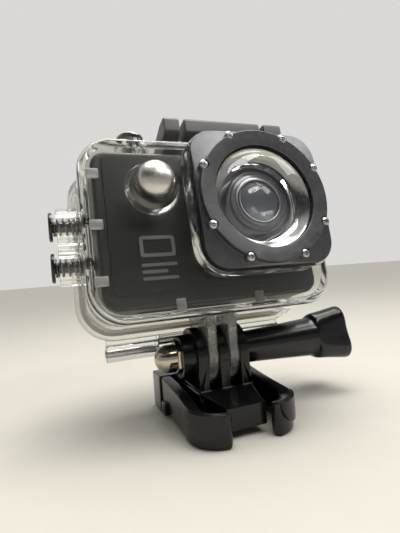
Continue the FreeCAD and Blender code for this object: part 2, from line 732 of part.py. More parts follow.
def case_front_shell():
    """The clear front half: shell, flange, turret, bosses, prongs, hinge and latch lugs."""
    shell = body("Shell")
    slab(shell, "case_width", CASE_TALL, "case_corner", "camera_shift", CASE_MID, "case_front", "joint_line")
    flange = ("flange_width", FLANGE_TALL, "case_corner + 1.5", "camera_shift", FLANGE_MID)
    slab(shell, *flange, "flange_front", "joint_line")
    rounded(shell, "1.2", lambda b: b.YMax < size("case_front") + 0.01)
    slab(shell, "turret_size", "turret_size", "turret_corner", *LENS_AT, "turret_front", "case_front + 1.5")
    # the inside, the throat of the turret and the seats of the window and its gasket
    inside = ("case_width - 2 * case_wall", f"{CASE_TALL} - 2 * case_wall", "case_corner - case_wall")
    slab(shell, *inside, "camera_shift", CASE_MID, "case_front + 2.0", "joint_line", hollow=True)
    disc(shell, "lens_outer / 2 + 1", *LENS_AT, "turret_front", "case_front + 3", hollow=True)
    doc.recompute()

    pieces = [shell]
    # tapered boss of the front button
    front_at = outward("front_button", "-0.5")
    pieces.append(taper("FrontBoss", "7.2", "5.6", "4.2", front_at, "-y"))
    for button in ("top_button", "side_button_upper", "side_button_lower"):
        reach = "top_boss_reach" if button == "top_button" else "side_boss_reach"
        place = (outward(button, "-0.5"), BUTTONS[button][1])
        pieces.append(rod(button.title() + "Boss", "boss_outer / 2", f"{reach} + 0.5", *place))
    # the two prongs of the mount
    for side in (-1, 1):
        root = ("case_low + 1", ("-9.5", "6.5"))
        pieces.append(prong(f"CaseProng{side + 1}", f"{side} * prong_step", *root, True))
    # the middle knuckle of the door hinge
    knuckle_from = "camera_shift - hinge_middle / 2"
    knuckle_x = (knuckle_from, "camera_shift + hinge_middle / 2")
    knuckle_at = (knuckle_from, "hinge_depth", "hinge_rise")
    pieces.append(rod("Knuckle", "knuckle_radius", "hinge_middle", knuckle_at, "x"))
    # its web bends round the prongs of the buckle and under the door's flange
    web_corners = [
        ("4.6", "flange_low + 1"),
        ("joint_line", "flange_low + 1"),
        ("joint_line", "flange_low - 0.5"),
        ("hinge_depth", "hinge_rise + 1.9"),
        ("hinge_depth", "hinge_rise - 1.6"),
        ("hinge_depth - 2.2", "hinge_rise - 1"),
        ("hinge_depth - 3.9", "hinge_rise + 0.1"),
        ("5.7", "6.3"),
    ]
    pieces.append(profile("KnuckleWeb", web_corners, *knuckle_x))
    # lugs of the latch pivot
    lug_y = ("lever_axis_depth - lug_radius", "lever_axis_depth + lug_radius")
    lug_z = ("case_high - 1", "lever_axis_rise")
    for at, x in enumerate(LUGS):
        pieces.append(rod(f"LatchLug{at}", "lug_radius", "lug_thick", (x, *LEVER_AXIS), "x"))
        pieces.append(box(f"LatchLugFoot{at}", (x, f"{x} + lug_thick"), lug_y, lug_z))
    # small ribs that hold the camera off the front wall, at the left and along the bottom
    left = "camera_shift - case_width / 2 + case_wall"
    rib_y = ("case_front + 1.9", "camera_front - 0.05")
    low = "case_low + case_wall"
    for at, z in enumerate(SIDE_RIBS):
        across = (f"{z} - rib_thick / 2", f"{z} + rib_thick / 2")
        pieces.append(box(f"SideRib{at}", (f"{left} - 0.5", f"{left} + 3.0"), rib_y, across))
    for at, x in enumerate(LOW_RIBS):
        across = (f"{x} - rib_thick / 2", f"{x} + rib_thick / 2")
        pieces.append(box(f"LowRib{at}", across, rib_y, (f"{low} - 0.5", f"{low} + 2.9")))

    whole = join("ShellSolid", *pieces)
    holes = [
        rod("BoltBore", "bolt_radius + 0.1", "12", ("-6", "0", "0"), "x"),
        rod("HingeBore", "hinge_pin_radius", "hinge_long", (HINGE_START, *HINGE_AXIS), "x"),
        rod("LatchBore", "latch_pin_radius + 0.1", "24", ("latch_shift - 12", *LEVER_AXIS), "x"),
    ]
    seat_at = ("lens_shift", "turret_front - 0.01", "lens_rise")
    holes.append(rod("WindowSeat", "window_disc / 2 + 0.15", "window_thick + 0.9", seat_at, "y"))
    for button, (_, along) in BUTTONS.items():
        title = button.title().replace("_", "")
        well = FRONT_WELL if button == "front_button" else SMALL_WELL
        holes.append(rod(title + "Well", *well, outward(button, "0.2"), along))
        holes.append(rod(title + "Bore", "plunger_radius + fit_gap", "8", outward(button, "-4"), along))
        seal_at = outward(button, "groove_at - 1.3")
        holes.append(rod(title + "SealBore", "plunger_radius + 0.45", "2.0", seal_at, along))
    for at in range(8):
        holes.append(screw_rod(f"TurretThread{at}", at, "0.72", "turret_front - 0.01", "turret_front + 3"))
    return finish(trim("FrontShell", whole, *holes), "case_front_shell")


def screw_place(at):
    """Eight screws: one on each side of every corner of the bezel."""
    quarter, second = divmod(at, 2)
    sign = 1 if second else -1
    angle = f"({90 * quarter + 45} + {sign} * (45 - screw_angle))"
    x = f"lens_shift + screw_circle / 2 * cos({angle} * 1deg)"
    z = f"lens_rise + screw_circle / 2 * sin({angle} * 1deg)"
    return x, z


def screw_rod(name, at, radius, front, back):
    x, z = screw_place(at)
    return rod(name, radius, f"({back}) - ({front})", (x, front, z), "y")


def lens_bezel():
    """The black frame in front of the turret: sloping corners round a dished round ring."""
    square = body("Bezel")
    low_front = "bezel_front + bezel_step"
    slab(square, "bezel_size", "bezel_size", "bezel_corner", *LENS_AT, low_front, "turret_front - 0.02")
    rounded(square, "0.5", lambda b: b.YMax < size(low_front) + 0.01)
    # the corners slope back from the ring's edge
    reach = "bezel_size * 0.75"
    cone_at = ("lens_shift", low_front, "lens_rise")
    cone = taper("PadCone", "ring_outer / 2", reach, "pad_slope", cone_at, "y")
    rear_at = ("lens_shift", f"{low_front} + pad_slope", "lens_rise")
    rear = rod("PadRear", reach, "bezel_step + 1", rear_at, "y")
    corners = overlap("PadCorners", square, join("PadLimit", cone, rear))
    band_at = ("lens_shift", "bezel_front", "lens_rise")
    band = rod("RingBand", "ring_outer / 2", "bezel_step + 1", band_at, "y")
    dish_at = ("lens_shift", "bezel_front - 0.001", "lens_rise")
    holes = [
        taper("Dish", "ring_outer / 2 - 0.25", "window_open / 2", "dish_deep", dish_at, "y"),
        rod("WindowHole", "window_open / 2", "6", ("lens_shift", "bezel_front - 1", "lens_rise"), "y"),
    ]
    for at in range(8):
        pocket = ("screw_head / 2 + 0.25", "bezel_front - 0.1", "bezel_front + 1.3")
        holes.append(screw_rod(f"HeadPocket{at}", at, *pocket))
        shank = ("screw_shank + 0.15", "bezel_front", "turret_front + 1")
        holes.append(screw_rod(f"ShankHole{at}", at, *shank))
    return finish(trim("LensBezel", join("BezelSolid", corners, band), *holes), "lens_bezel")


def bezel_screws():
    """Pan-head cross-recess screws."""
    curve, slot_half, slot_thin = 2.2, 0.62, 0.14
    crown_front = "bezel_front - 0.1"
    screws = []
    for at in range(8):
        x, z = screw_place(at)
        head = screw_rod(f"Head{at}", at, "screw_head / 2", "bezel_front + 0.3", "bezel_front + 1.3")
        blank = screw_rod(f"CrownRod{at}", at, "screw_head / 2", crown_front, "bezel_front + 0.35")
        sphere = ball(f"CrownBall{at}", curve, (x, f"{crown_front} + {curve}", z))
        crown = overlap(f"Crown{at}", blank, sphere)
        shank = screw_rod(f"Shank{at}", at, "screw_shank", "bezel_front + 1.2", "turret_front + 2.6")
        slots = []
        for way, (wide, tall) in enumerate(((slot_half, slot_thin), (slot_thin, slot_half))):
            sides = (f"{x} - {wide}", f"{x} + {wide}")
            heights = (f"{z} - {tall}", f"{z} + {tall}")
            slots.append(box(f"Slot{at}_{way}", sides, ("bezel_front - 0.3", "bezel_front + 0.6"), heights))
        screws.append(trim(f"Screw{at}", join(f"ScrewSolid{at}", head, crown, shank), *slots))
    return finish(group("Screws", *screws), "bezel_screws")


def window_glass():
    part = body("Window")
    disc(part, "window_disc / 2", *LENS_AT, "turret_front + 0.05", "turret_front + window_thick")
    return finish(part, "window_glass")


def window_gasket():
    part = body("Gasket")
    front = "turret_front + window_thick"
    disc(part, "window_disc / 2", *LENS_AT, f"{front} + 0.02", f"{front} + 0.85")
    disc(part, "lens_outer / 2 + 1.2", *LENS_AT, front, f"{front} + 1", hollow=True)
    return finish(part, "window_gasket")


def case_door():
    """The clear back half, hung on two long knuckles."""
    front = "joint_line + joint_gap"
    flange_back = f"{front} + door_flange"
    door = body("Door")
    middle = ("camera_shift", CASE_MID)
    flange = ("flange_width", FLANGE_TALL, "case_corner + 1.5", "camera_shift", FLANGE_MID)
    slab(door, *flange, front, flange_back)
    outside = ("case_width - 1", f"{CASE_TALL} - 1", "case_corner - 0.5")
    slab(door, *outside, *middle, flange_back, "door_back")
    rounded(door, "1.5", lambda b: b.YMin > size("door_back") - 0.01)
    inside = ("case_width - 1 - 2 * case_wall", f"{CASE_TALL} - 1 - 2 * case_wall", "camera_corner + 0.6")
    slab(door, *inside, *middle, front, "door_back - case_wall", hollow=True)
    # the groove of the seal
    groove = sketch_on(door, "XZ_Plane", "camera_shift", FLANGE_MID, f"-({front})")
    draw_rounded(groove, "flange_width - 2.4", f"{FLANGE_TALL} - 2.4", "case_corner + 0.3")
    draw_rounded(groove, "flange_width - 5.2", f"{FLANGE_TALL} - 5.2", "case_corner - 1.1")
    feature(door, "Pocket", groove, "seal_groove")
    doc.recompute()

    pieces = [door]
    half = "hinge_long / 2"
    spans = {
        "Left": (f"camera_shift - {half}", "camera_shift - hinge_middle / 2 - side_gap"),
        "Right": ("camera_shift + hinge_middle / 2 + side_gap", f"camera_shift + {half}"),
    }
    for side, span in spans.items():
        length = f"({span[1]}) - ({span[0]})"
        pieces.append(rod(side + "Knuckle", "knuckle_radius", length, (span[0], *HINGE_AXIS), "x"))
        depth = ("joint_line + 0.5", flange_back)
        pieces.append(box(side + "KnuckleWeb", span, depth, ("hinge_rise - 0.6", "flange_low + 1.2")))
    # the lip behind which the latch hooks
    lip_x = ("latch_shift - ear_inner", "latch_shift + ear_inner")
    lip_z = ("flange_high - 1", "flange_high + 1.5")
    pieces.append(box("Lip", lip_x, (f"{flange_back} - 1.6", flange_back), lip_z))
    bore_at = (f"camera_shift - {half} - 1", *HINGE_AXIS)
    bore = rod("DoorBore", "hinge_pin_radius + fit_gap", "hinge_long + 2", bore_at, "x")
    return finish(trim("CaseDoor", join("DoorSolid", *pieces), bore), "case_door")


def door_seal():
    seal = body("Seal")
    front = "joint_line + joint_gap - 0.12"
    sketch = sketch_on(seal, "XZ_Plane", "camera_shift", FLANGE_MID, f"-({front} + seal_groove + 0.1)")
    draw_rounded(sketch, "flange_width - 2.6", f"{FLANGE_TALL} - 2.6", "case_corner + 0.2")
    draw_rounded(sketch, "flange_width - 5.0", f"{FLANGE_TALL} - 5.0", "case_corner - 1.0")
    feature(seal, "Pad", sketch, "seal_groove + 0.1")
    return finish(seal, "door_seal")


def hinge_pin():
    start = "camera_shift - hinge_long / 2 - 0.3"
    pin = rod("HingePin", "hinge_pin_radius", "hinge_long + 0.6", (start, *HINGE_AXIS), "x")
    return finish(pin, "hinge_pin")


# ---------------------------------------------------------------- the latch
ARM_AXIS = ("arm_axis_depth", "arm_axis_rise")
# the side profile of the grip, shared by the plate and the arms
GRIP = [
    ("latch_front", "latch_top - 4.3"),
    ("latch_front", "latch_top - 0.5"),
    ("latch_front + 0.5", "latch_top"),
    ("latch_front + 4.2", "latch_top"),
]


def latch_lever():
    """The finger plate: undercut at the front, sloping down to its pivot."""
    rear = [
        ("lever_axis_depth + 0.4", "lever_axis_rise + 2.3"),
        ("lever_axis_depth + 2.0", "lever_axis_rise + 1.3"),
        ("lever_axis_depth + 2.3", "lever_axis_rise"),
        ("lever_axis_depth + 1.6", "lever_axis_rise - 1.6"),
        ("lever_axis_depth", "case_high + 0.5"),
        ("latch_front + 3.4", "case_high + 0.5"),
        ("latch_front + 2.6", "latch_top - 5.4"),
    ]
    plate = profile("LeverPlate", GRIP + rear, "latch_shift - latch_half", "latch_shift + latch_half")
    cuts = [
        rod("LeverBore", "latch_pin_radius + 0.15", "26", ("latch_shift - 13", *LEVER_AXIS), "x"),
        rod("ArmPinBore", "latch_pin_radius", "26", ("latch_shift - 13", *ARM_AXIS), "x"),
    ]
    depth = ("lever_axis_depth - 2.3", "lever_axis_depth + 4")
    for at, x in enumerate(LUGS):
        slot_x = (f"{x} - 0.3", f"{x} + lug_thick + 0.3")
        cuts.append(box(f"LugSlot{at}", slot_x, depth, ("case_high", "latch_top + 1")))
    return finish(trim("LatchLever", plate, *cuts), "latch_lever")


def latch_hook():
    """Two arms beside the lever, joined behind it by a bar that hooks the door's lip."""
    claw_front = "joint_line + joint_gap + door_flange + 0.2"
    rear = [
        ("lever_axis_depth + 1.5", "lever_axis_rise + 2.6"),
        (f"{claw_front} + 2", "lever_axis_rise + 2.6"),
        (f"{claw_front} + 2", "flange_high + 0.35"),
        ("flange_front - 0.6", "flange_high + 0.35"),
        ("flange_front - 1.6", "case_high + 0.5"),
        ("latch_front + 3.4", "case_high + 0.5"),
        ("latch_front + 2.6", "latch_top - 5.4"),
    ]
    spans = {
        "Left": ("latch_shift - ear_outer", "latch_shift - ear_inner"),
        "Right": ("latch_shift + ear_inner", "latch_shift + ear_outer_right"),
    }
    pieces = [profile(side + "Arm", GRIP + rear, *span) for side, span in spans.items()]
    across = ("latch_shift - ear_inner - 1", "latch_shift + ear_inner + 1")
    claw_back = f"{claw_front} + 2"
    bar_top = "lever_axis_rise + 2.6"
    bar_depth = ("flange_front + 1.4", claw_back)
    pieces.append(box("CrossBar", across, bar_depth, ("flange_high + 1.8", bar_top)))
    pieces.append(box("Claw", across, (claw_front, claw_back), ("flange_high + 0.35", bar_top)))
    bore = rod("HookBore", "latch_pin_radius + fit_gap", "38", ("latch_shift - 18", *ARM_AXIS), "x")
    return finish(trim("LatchHook", join("HookSolid", *pieces), bore), "latch_hook")


def latch_pins():
    start = ("latch_shift - latch_half + 0.4", *LEVER_AXIS)
    pivot = rod("PivotPin", "latch_pin_radius + 0.1", "2 * latch_half - 0.8", start, "x")
    finish(pivot, "latch_pivot_pin")
    left = rod("ArmPinLeft", "latch_pin_radius", "9", ("latch_shift - ear_outer + 0.6", *ARM_AXIS), "x")
    right = rod("ArmPinRight", "latch_pin_radius", "9", ("latch_shift + ear_outer - 9.6", *ARM_AXIS), "x")
    finish(group("ArmPins", left, right), "latch_arm_pins")


# ---------------------------------------------------------------- the mount
BOLT_AXIS = ("0", "pivot_height")
NUT_FACE = "-2 * prong_step - prong_thick / 2 - nut_boss_long"


def hexagon(name, flats, length, at, along):
    prism = bind(doc.addObject("Part::Prism", name), Circumradius=f"({flats}) / sqrt(3)", Height=length)
    prism.Polygon = 6
    prism.Placement = Placement(Vector(), ALONG[along])
    return moved(prism, *at)


def pinch_bolt():
    shaft = rod("BoltShaft", "bolt_radius", "shank_start + 27", ("-15", *BOLT_AXIS), "x")
    finish(shaft, "pinch_bolt", in_case=False)


def acorn_nut():
    hexa = hexagon("NutHex", "nut_flats", "3.5", (f"{NUT_FACE} - 0.9", *BOLT_AXIS), "x")
    straight = rod("NutBarrel", "nut_radius", "nut_reach - nut_radius", (NUT_FACE, *BOLT_AXIS), "-x")
    dome = ball("NutDome", "nut_radius", (f"{NUT_FACE} - (nut_reach - nut_radius)", *BOLT_AXIS))
    bore = rod("NutBore", "bolt_radius + fit_gap", "16", ("-15.2", *BOLT_AXIS), "x")
    finish(trim("AcornNut", join("NutSolid", hexa, straight, dome), bore), "acorn_nut", in_case=False)


def thumbscrew_knob():
    """A long flared shank that carries a three-lobed knob."""
    length = "knob_end - shank_end"
    shank_at = ("shank_start", *BOLT_AXIS)
    shank = taper("Shank", "shank_thin", "shank_thick", "shank_end - shank_start", shank_at, "x")
    core = rod("KnobCore", "flute_radius", length, ("shank_end - 0.5", *BOLT_AXIS), "x")
    out = "(knob_radius - lobe_radius)"
    lobes = []
    for at in range(3):
        angle = f"({120 * at - 15}) * 1deg"
        centre = (f"{out} * cos({angle})", f"pivot_height + {out} * sin({angle})")
        lobes.append(rod(f"Lobe{at}", "lobe_radius", length, ("shank_end", *centre), "x"))
    bore = rod("KnobBore", "bolt_radius", "12.1", ("shank_start - 0.05", *BOLT_AXIS), "x")
    finish(trim("Knob", join("KnobSolid", shank, core, *lobes), bore), "thumbscrew_knob", in_case=False)


def buckle_base():
    """Spine, root block, front block with its ramp, three prongs and the nut's boss."""
    half = "buckle_width / 2"
    root = box("Root", (f"-{half}", half), ("root_front", "root_back"), ("0", "root_top"))
    spine = box("Spine", ("-spine_half", "spine_half"), ("-9", "root_front + 1"), ("0", "spine_top"))
    ramp_corners = [
        ("block_front", "block_low"),
        ("block_front", "block_edge"),
        ("-7", "block_back"),
        ("root_front + 1", "block_back"),
        ("root_front + 1", "block_low"),
    ]
    ramp = profile("Ramp", ramp_corners, "-spine_half", "spine_half")
    nose_corners = [
        ("-block_half", "block_front"),
        ("block_half", "block_front"),
        ("block_half", "block_front + 2"),
        ("spine_half", "-7"),
        ("spine_half", "root_front + 1"),
        ("-spine_half", "root_front + 1"),
        ("-spine_half", "-7"),
        ("-block_half", "block_front + 2"),
    ]
    block = overlap("Block", ramp, plan("Nose", nose_corners, "0", "14"))
    shoulder_corners = [
        ("-8.6", "0.8"),
        ("-8.6", "6.6"),
        ("-6.6", "block_back - 0.8"),
        ("root_front - 1", "block_back - 0.8"),
        ("root_front + 0.5", "4"),
        ("root_front + 0.5", "0.8"),
    ]
    shoulder = profile("Shoulder", shoulder_corners, "-spine_half - 0.4", "spine_half + 0.4")
    pieces = [root, spine, block, shoulder]
    for side in (-2, 0, 2):
        pieces.append(prong(f"BaseProng{side + 2}", f"{side} * prong_step", "6", ("-7.6", "8.2"), False))
    boss_at = ("-2 * prong_step - prong_thick / 2 + 0.5", *BOLT_AXIS)
    pieces.append(rod("NutBoss", "nut_boss_radius", "nut_boss_long + 0.5", boss_at, "-x"))
    holes = [
        rod("BaseBore", "bolt_radius + 0.1", "22", ("-11", *BOLT_AXIS), "x"),
        hexagon("NutPocket", "nut_flats + 0.1", "4.0", (f"{NUT_FACE} - 1.3", *BOLT_AXIS), "x"),
    ]
    finish(trim("BuckleBase", join("BuckleSolid", *pieces), *holes), "buckle_base", in_case=False)


def pad_sector(name, side, start, end, z_from, z_to):
    """A wedge of the finger pad's circle between two angles, to cut a ring down to a pad."""
    reach = "2 * pad_outer"
    centre_x = f"{side} * pad_side"
    corners = [(centre_x, "pad_middle")]
    for angle in (start, f"(({start}) + ({end})) / 2", end):
        x = f"{centre_x} + {side} * {reach} * cos(({angle}) * 1deg)"
        corners.append((x, f"pad_middle - {reach} * sin(({angle}) * 1deg)"))
    return plan(name, corners, z_from, z_to)


def squeeze_arm(side):
    """A springy arm that ends in a curved finger pad; side is -1 on the left, 1 on the right."""
    name = "Left" if side < 0 else "Right"
    low, high = ("arm_inner", "arm_outer") if side > 0 else ("-arm_outer", "-arm_inner")
    front, back = "pad_middle - 0.5", "root_front - 0.15"
    side_view = [(front, "arm_low"), (front, "pad_high"), (back, "arm_high"), (back, "arm_low")]
    beam = profile(name + "Beam", side_view, low, high)
    centre = (f"{side} * pad_side", "pad_middle")
    outer = rod(name + "PadOuter", "pad_outer", "pad_high", (*centre, "0"))
    inner = rod(name + "PadInner", "pad_inner", "pad_high + 2", (*centre, "-1"))
    sector = pad_sector(name + "Sector", side, "0", "pad_end", "-1", "pad_high + 1")
    pad = overlap(name + "Pad", trim(name + "PadRing", outer, inner), sector)
    grip_size = ("pad_outer + grip_proud", "pad_high - grip_low")
    grip_outer = rod(name + "GripOuter", *grip_size, (*centre, "grip_low"))
    grip_inner = rod(name + "GripInner", "pad_outer - 1", "pad_high + 2", (*centre, "-1"))
    grip_sector = pad_sector(name + "GripSector", side, "12", "72", "-1", "pad_high + 1")
    grip = overlap(name + "Grip", trim(name + "GripRing", grip_outer, grip_inner), grip_sector)
    tooth_x = ("arm_outer - 0.5", "arm_outer + 0.8")
    if side < 0:
        tooth_x = ("-arm_outer - 0.8", "-arm_outer + 0.5")
    tooth = box(name + "Tooth", tooth_x, ("3", "6"), ("arm_low", "arm_low + 3.4"))
    arm = join(name + "SqueezeArm", beam, pad, grip, tooth)
    finish(arm, "buckle_arm_" + name.lower(), in_case=False)


def main():
    camera_front_cover()
    camera_front_panel()
    camera_print()
    camera_frame()
    camera_back_cover()
    camera_screen()
    battery_door()
    lens_barrel()
    lens_ring()
    lens_front_glass()
    lens_rear_group()
    image_sensor()
    main_board()
    battery()
    memory_card()
    for button in BUTTONS:
        button_set(button)
        button_spring(button)
    case_front_shell()
    lens_bezel()
    bezel_screws()
    window_glass()
    window_gasket()
    case_door()
    door_seal()
    hinge_pin()
    latch_lever()
    latch_hook()
    latch_pins()
    buckle_base()
    squeeze_arm(-1)
    squeeze_arm(1)
    pinch_bolt()
    acorn_nut()
    thumbscrew_knob()

    doc.recompute()
    failed = [item.Name for item in doc.Objects if {"Invalid", "Error"} & set(item.State)]
    for part in PARTS:
        if part.Shape.isNull() or not part.Shape.isValid() or not part.Shape.Solids:
            failed.append(part.Label)
    if failed:
        raise RuntimeError("failed: " + ", ".join(failed))
    os.makedirs("parts", exist_ok=True)
    for part in PARTS:
        part.Shape.exportStep(f"parts/{part.Label}.step")
    print(len(PARTS), "sub-parts")


main()
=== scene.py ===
import json
import math

import bmesh
import bpy
from mathutils import Matrix, Vector

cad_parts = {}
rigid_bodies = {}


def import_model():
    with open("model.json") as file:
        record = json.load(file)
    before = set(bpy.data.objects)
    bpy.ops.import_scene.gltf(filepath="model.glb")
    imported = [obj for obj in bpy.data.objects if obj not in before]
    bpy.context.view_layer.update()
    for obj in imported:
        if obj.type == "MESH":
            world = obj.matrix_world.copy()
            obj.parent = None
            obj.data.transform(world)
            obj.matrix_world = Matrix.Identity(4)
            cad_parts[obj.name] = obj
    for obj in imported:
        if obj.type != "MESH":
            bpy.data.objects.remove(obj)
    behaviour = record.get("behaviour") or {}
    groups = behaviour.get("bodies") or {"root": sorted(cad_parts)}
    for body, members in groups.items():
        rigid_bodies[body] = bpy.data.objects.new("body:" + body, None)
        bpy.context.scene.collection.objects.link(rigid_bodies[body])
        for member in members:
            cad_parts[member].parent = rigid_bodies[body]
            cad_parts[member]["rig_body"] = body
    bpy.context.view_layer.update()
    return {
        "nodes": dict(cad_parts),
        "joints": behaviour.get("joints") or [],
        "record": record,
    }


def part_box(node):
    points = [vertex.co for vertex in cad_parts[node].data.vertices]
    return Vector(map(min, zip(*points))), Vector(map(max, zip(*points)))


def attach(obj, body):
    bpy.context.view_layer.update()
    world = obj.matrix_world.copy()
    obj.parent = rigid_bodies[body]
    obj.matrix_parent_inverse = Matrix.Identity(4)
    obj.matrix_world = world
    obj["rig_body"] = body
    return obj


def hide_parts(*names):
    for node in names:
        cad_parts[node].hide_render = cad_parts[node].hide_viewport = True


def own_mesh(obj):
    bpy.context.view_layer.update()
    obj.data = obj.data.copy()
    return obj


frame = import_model()
NODES = frame["nodes"]
MM = 0.001
TURN = 2 * math.pi


# ---------------------------------------------------------------- materials
# Noise scales, in features per millimetre
DRIFT, PATCHES, METAL_DRIFT, SCUFFS, SMEARS, WAVES = 0.12, 0.35, 0.3, 1.2, 0.25, 0.18
SCUFF_SPREAD = 0.16
M = {}


def new_material(name, color, **inputs):
    """A Principled material whose constants sit on the shader's own sockets."""
    made = bpy.data.materials.new(name)
    made.use_nodes = True
    shader = made.node_tree.nodes["Principled BSDF"]
    shader.inputs["Base Color"].default_value = (*color, 1.0)
    for key, value in inputs.items():
        shader.inputs[key.replace("_", " ")].default_value = value
    M[name] = made
    return made.node_tree, shader


def node(tree, kind, **values):
    """A node with the given properties or input values."""
    made = tree.nodes.new(kind)
    for key, value in values.items():
        if hasattr(made, key):
            setattr(made, key, value)
        else:
            made.inputs[key.replace("_", " ")].default_value = value
    return made


def noise(tree, scale, detail=4.0, rough=0.55, stretch=(1, 1, 1)):
    """Noise in the row frame, scale in features per millimetre."""
    place = node(tree, "ShaderNodeTexCoord")
    mapping = node(tree, "ShaderNodeMapping")
    mapping.inputs["Scale"].default_value = tuple(scale * s / MM for s in stretch)
    made = node(tree, "ShaderNodeTexNoise", Scale=1.0, Detail=detail, Roughness=rough)
    tree.links.new(place.outputs["Object"], mapping.inputs["Vector"])
    tree.links.new(mapping.outputs["Vector"], made.inputs["Vector"])
    return made.outputs["Fac"]


def ramp(tree, fac, low, high, a, b):
    """Maps fac from low..high to the colours or values a..b."""
    if isinstance(a, tuple):
        made = node(tree, "ShaderNodeValToRGB")
        for stop, position, color in zip(made.color_ramp.elements, (low, high), (a, b)):
            stop.position, stop.color = position, (*color, 1)
        tree.links.new(fac, made.inputs["Fac"])
        return made.outputs["Color"]
    made = node(tree, "ShaderNodeMapRange", From_Min=low, From_Max=high, To_Min=a, To_Max=b)
    tree.links.new(fac, made.inputs["Value"])
    return made.outputs["Result"]


def combine(tree, operation, first, second):
    """One value made from two by a maths operation."""
    made = node(tree, "ShaderNodeMath", operation=operation)
    tree.links.new(first, made.inputs[0])
    tree.links.new(second, made.inputs[1])
    return made.outputs[0]


def mix_by(tree, fac, first, second, out):
    """Shows the first shader where fac is 0 and the second where it is 1."""
    mix = node(tree, "ShaderNodeMixShader")
    for at, socket in enumerate((fac, first, second)):
        tree.links.new(socket, mix.inputs[at])
    tree.links.new(mix.outputs[0], out.inputs["Surface"])


def bump(tree, shader, fac, height):
    """A bump of real height, in millimetres."""
    made = node(tree, "ShaderNodeBump", Strength=1.0, Distance=height * MM)
    tree.links.new(fac, made.inputs["Height"])
    tree.links.new(made.outputs["Normal"], shader.inputs["Normal"])


def plastic(name, dark, light, rough, grain=2.5, height=0.01, spread=0.05, **inputs):
    """Moulded plastic: slow colour drift, fine grain, patchy gloss from handling."""
    tree, shader = new_material(name, dark, **inputs)
    color = ramp(tree, noise(tree, DRIFT), 0.3, 0.7, dark, light)
    tree.links.new(color, shader.inputs["Base Color"])
    gloss = ramp(tree, noise(tree, PATCHES, 6, 0.7), 0.3, 0.7, rough - spread, rough + spread)
    tree.links.new(gloss, shader.inputs["Roughness"])
    bump(tree, shader, noise(tree, grain, 3), height)


def metal(name, dark, light, rough, stretch=(1, 1, 1), height=0.002):
    """Metal or plating: slight colour drift, fine scuffs in the gloss."""
    tree, shader = new_material(name, dark, Metallic=1.0)
    color = ramp(tree, noise(tree, METAL_DRIFT), 0.35, 0.65, dark, light)
    tree.links.new(color, shader.inputs["Base Color"])
    scuff = noise(tree, SCUFFS, 8, 0.75, stretch)
    gloss = ramp(tree, scuff, 0.35, 0.8, rough, rough + SCUFF_SPREAD)
    tree.links.new(gloss, shader.inputs["Roughness"])
    bump(tree, shader, scuff, height)


def clear(name, tint, rough, ior, haze, wave, shadow=0.9, body=1.0):
    """Clear moulded plastic or glass; lamps shine through it, dimmed to shadow."""
    tree, shader = new_material(name, tint, IOR=ior, Transmission_Weight=body)
    gloss = ramp(tree, noise(tree, SMEARS, 6, 0.7), 0.4, 0.8, rough, rough + haze)
    tree.links.new(gloss, shader.inputs["Roughness"])
    bump(tree, shader, noise(tree, WAVES, 2), wave)
    path = node(tree, "ShaderNodeLightPath")
    through = node(tree, "ShaderNodeBsdfTransparent", Color=(shadow, shadow, shadow, 1.0))
    mix_by(tree, path.outputs["Is Shadow Ray"], shader.outputs[0], through.outputs[0],
           tree.nodes["Material Output"])


clear("clear_shell", (0.95, 0.955, 0.93), 0.03, 1.43, haze=0.04, wave=0.015, body=0.99)
clear("frosted", (0.50, 0.50, 0.48), 0.35, 1.46, haze=0.1, wave=0.01, shadow=0.6, body=0.55)
clear("window", (0.98, 0.985, 0.98), 0.0, 1.5, haze=0.01, wave=0.0)
plastic("lens_inner", (0.020, 0.021, 0.026), (0.035, 0.036, 0.044), 0.16,
        grain=1.0, height=0.0002, spread=0.02)
clear("lens_glass", (0.80, 0.83, 0.90), 0.06, 1.6, haze=0.04, wave=0.0, shadow=0.95, body=0.93)
plastic("screen_glass", (0.008, 0.008, 0.010), (0.014, 0.014, 0.017), 0.07,
        grain=1.0, height=0.0005, spread=0.03, Coat_Weight=0.6)
plastic("black_satin", (0.004, 0.004, 0.0045), (0.006, 0.006, 0.0065), 0.18,
        grain=5.0, height=0.0005, spread=0.03, Specular_IOR_Level=0.4)
plastic("black_gloss", (0.004, 0.004, 0.0045), (0.007, 0.007, 0.0075), 0.2,
        grain=1.5, height=0.001, spread=0.04)
metal("bezel", (0.14, 0.14, 0.147), (0.165, 0.165, 0.172), 0.30, height=0.0004)
metal("lens_wall", (0.66, 0.65, 0.62), (0.74, 0.73, 0.70), 0.07, height=0.0004)
plastic("latch", (0.075, 0.075, 0.080), (0.095, 0.095, 0.10), 0.40, grain=5.0, height=0.0008)
plastic("charcoal", (0.004, 0.004, 0.0045), (0.007, 0.007, 0.0075), 0.36, grain=6.0, height=0.001)
plastic("panel", (0.006, 0.006, 0.0068), (0.009, 0.009, 0.010), 0.36,
        grain=8.0, height=0.0005, spread=0.03, Specular_IOR_Level=0.3)
plastic("print_grey", (0.12, 0.12, 0.125), (0.17, 0.17, 0.175), 0.5, grain=6.0, height=0.002)
metal("steel", (0.50, 0.50, 0.51), (0.62, 0.62, 0.62), 0.20, stretch=(1, 1, 6))
metal("spring_wire", (0.26, 0.26, 0.27), (0.34, 0.34, 0.35), 0.22)
metal("warm_chrome", (0.50, 0.44, 0.355), (0.58, 0.52, 0.43), 0.10)
metal("chrome", (0.62, 0.60, 0.56), (0.72, 0.70, 0.66), 0.09)
metal("plated_plastic", (0.40, 0.39, 0.37), (0.52, 0.51, 0.48), 0.12)
clear("haze", (0.80, 0.80, 0.78), 0.25, 1.46, haze=0.1, wave=0.0, shadow=0.7, body=0.75)
metal("satin_chrome", (0.62, 0.60, 0.555), (0.70, 0.68, 0.64), 0.26, height=0.0008)
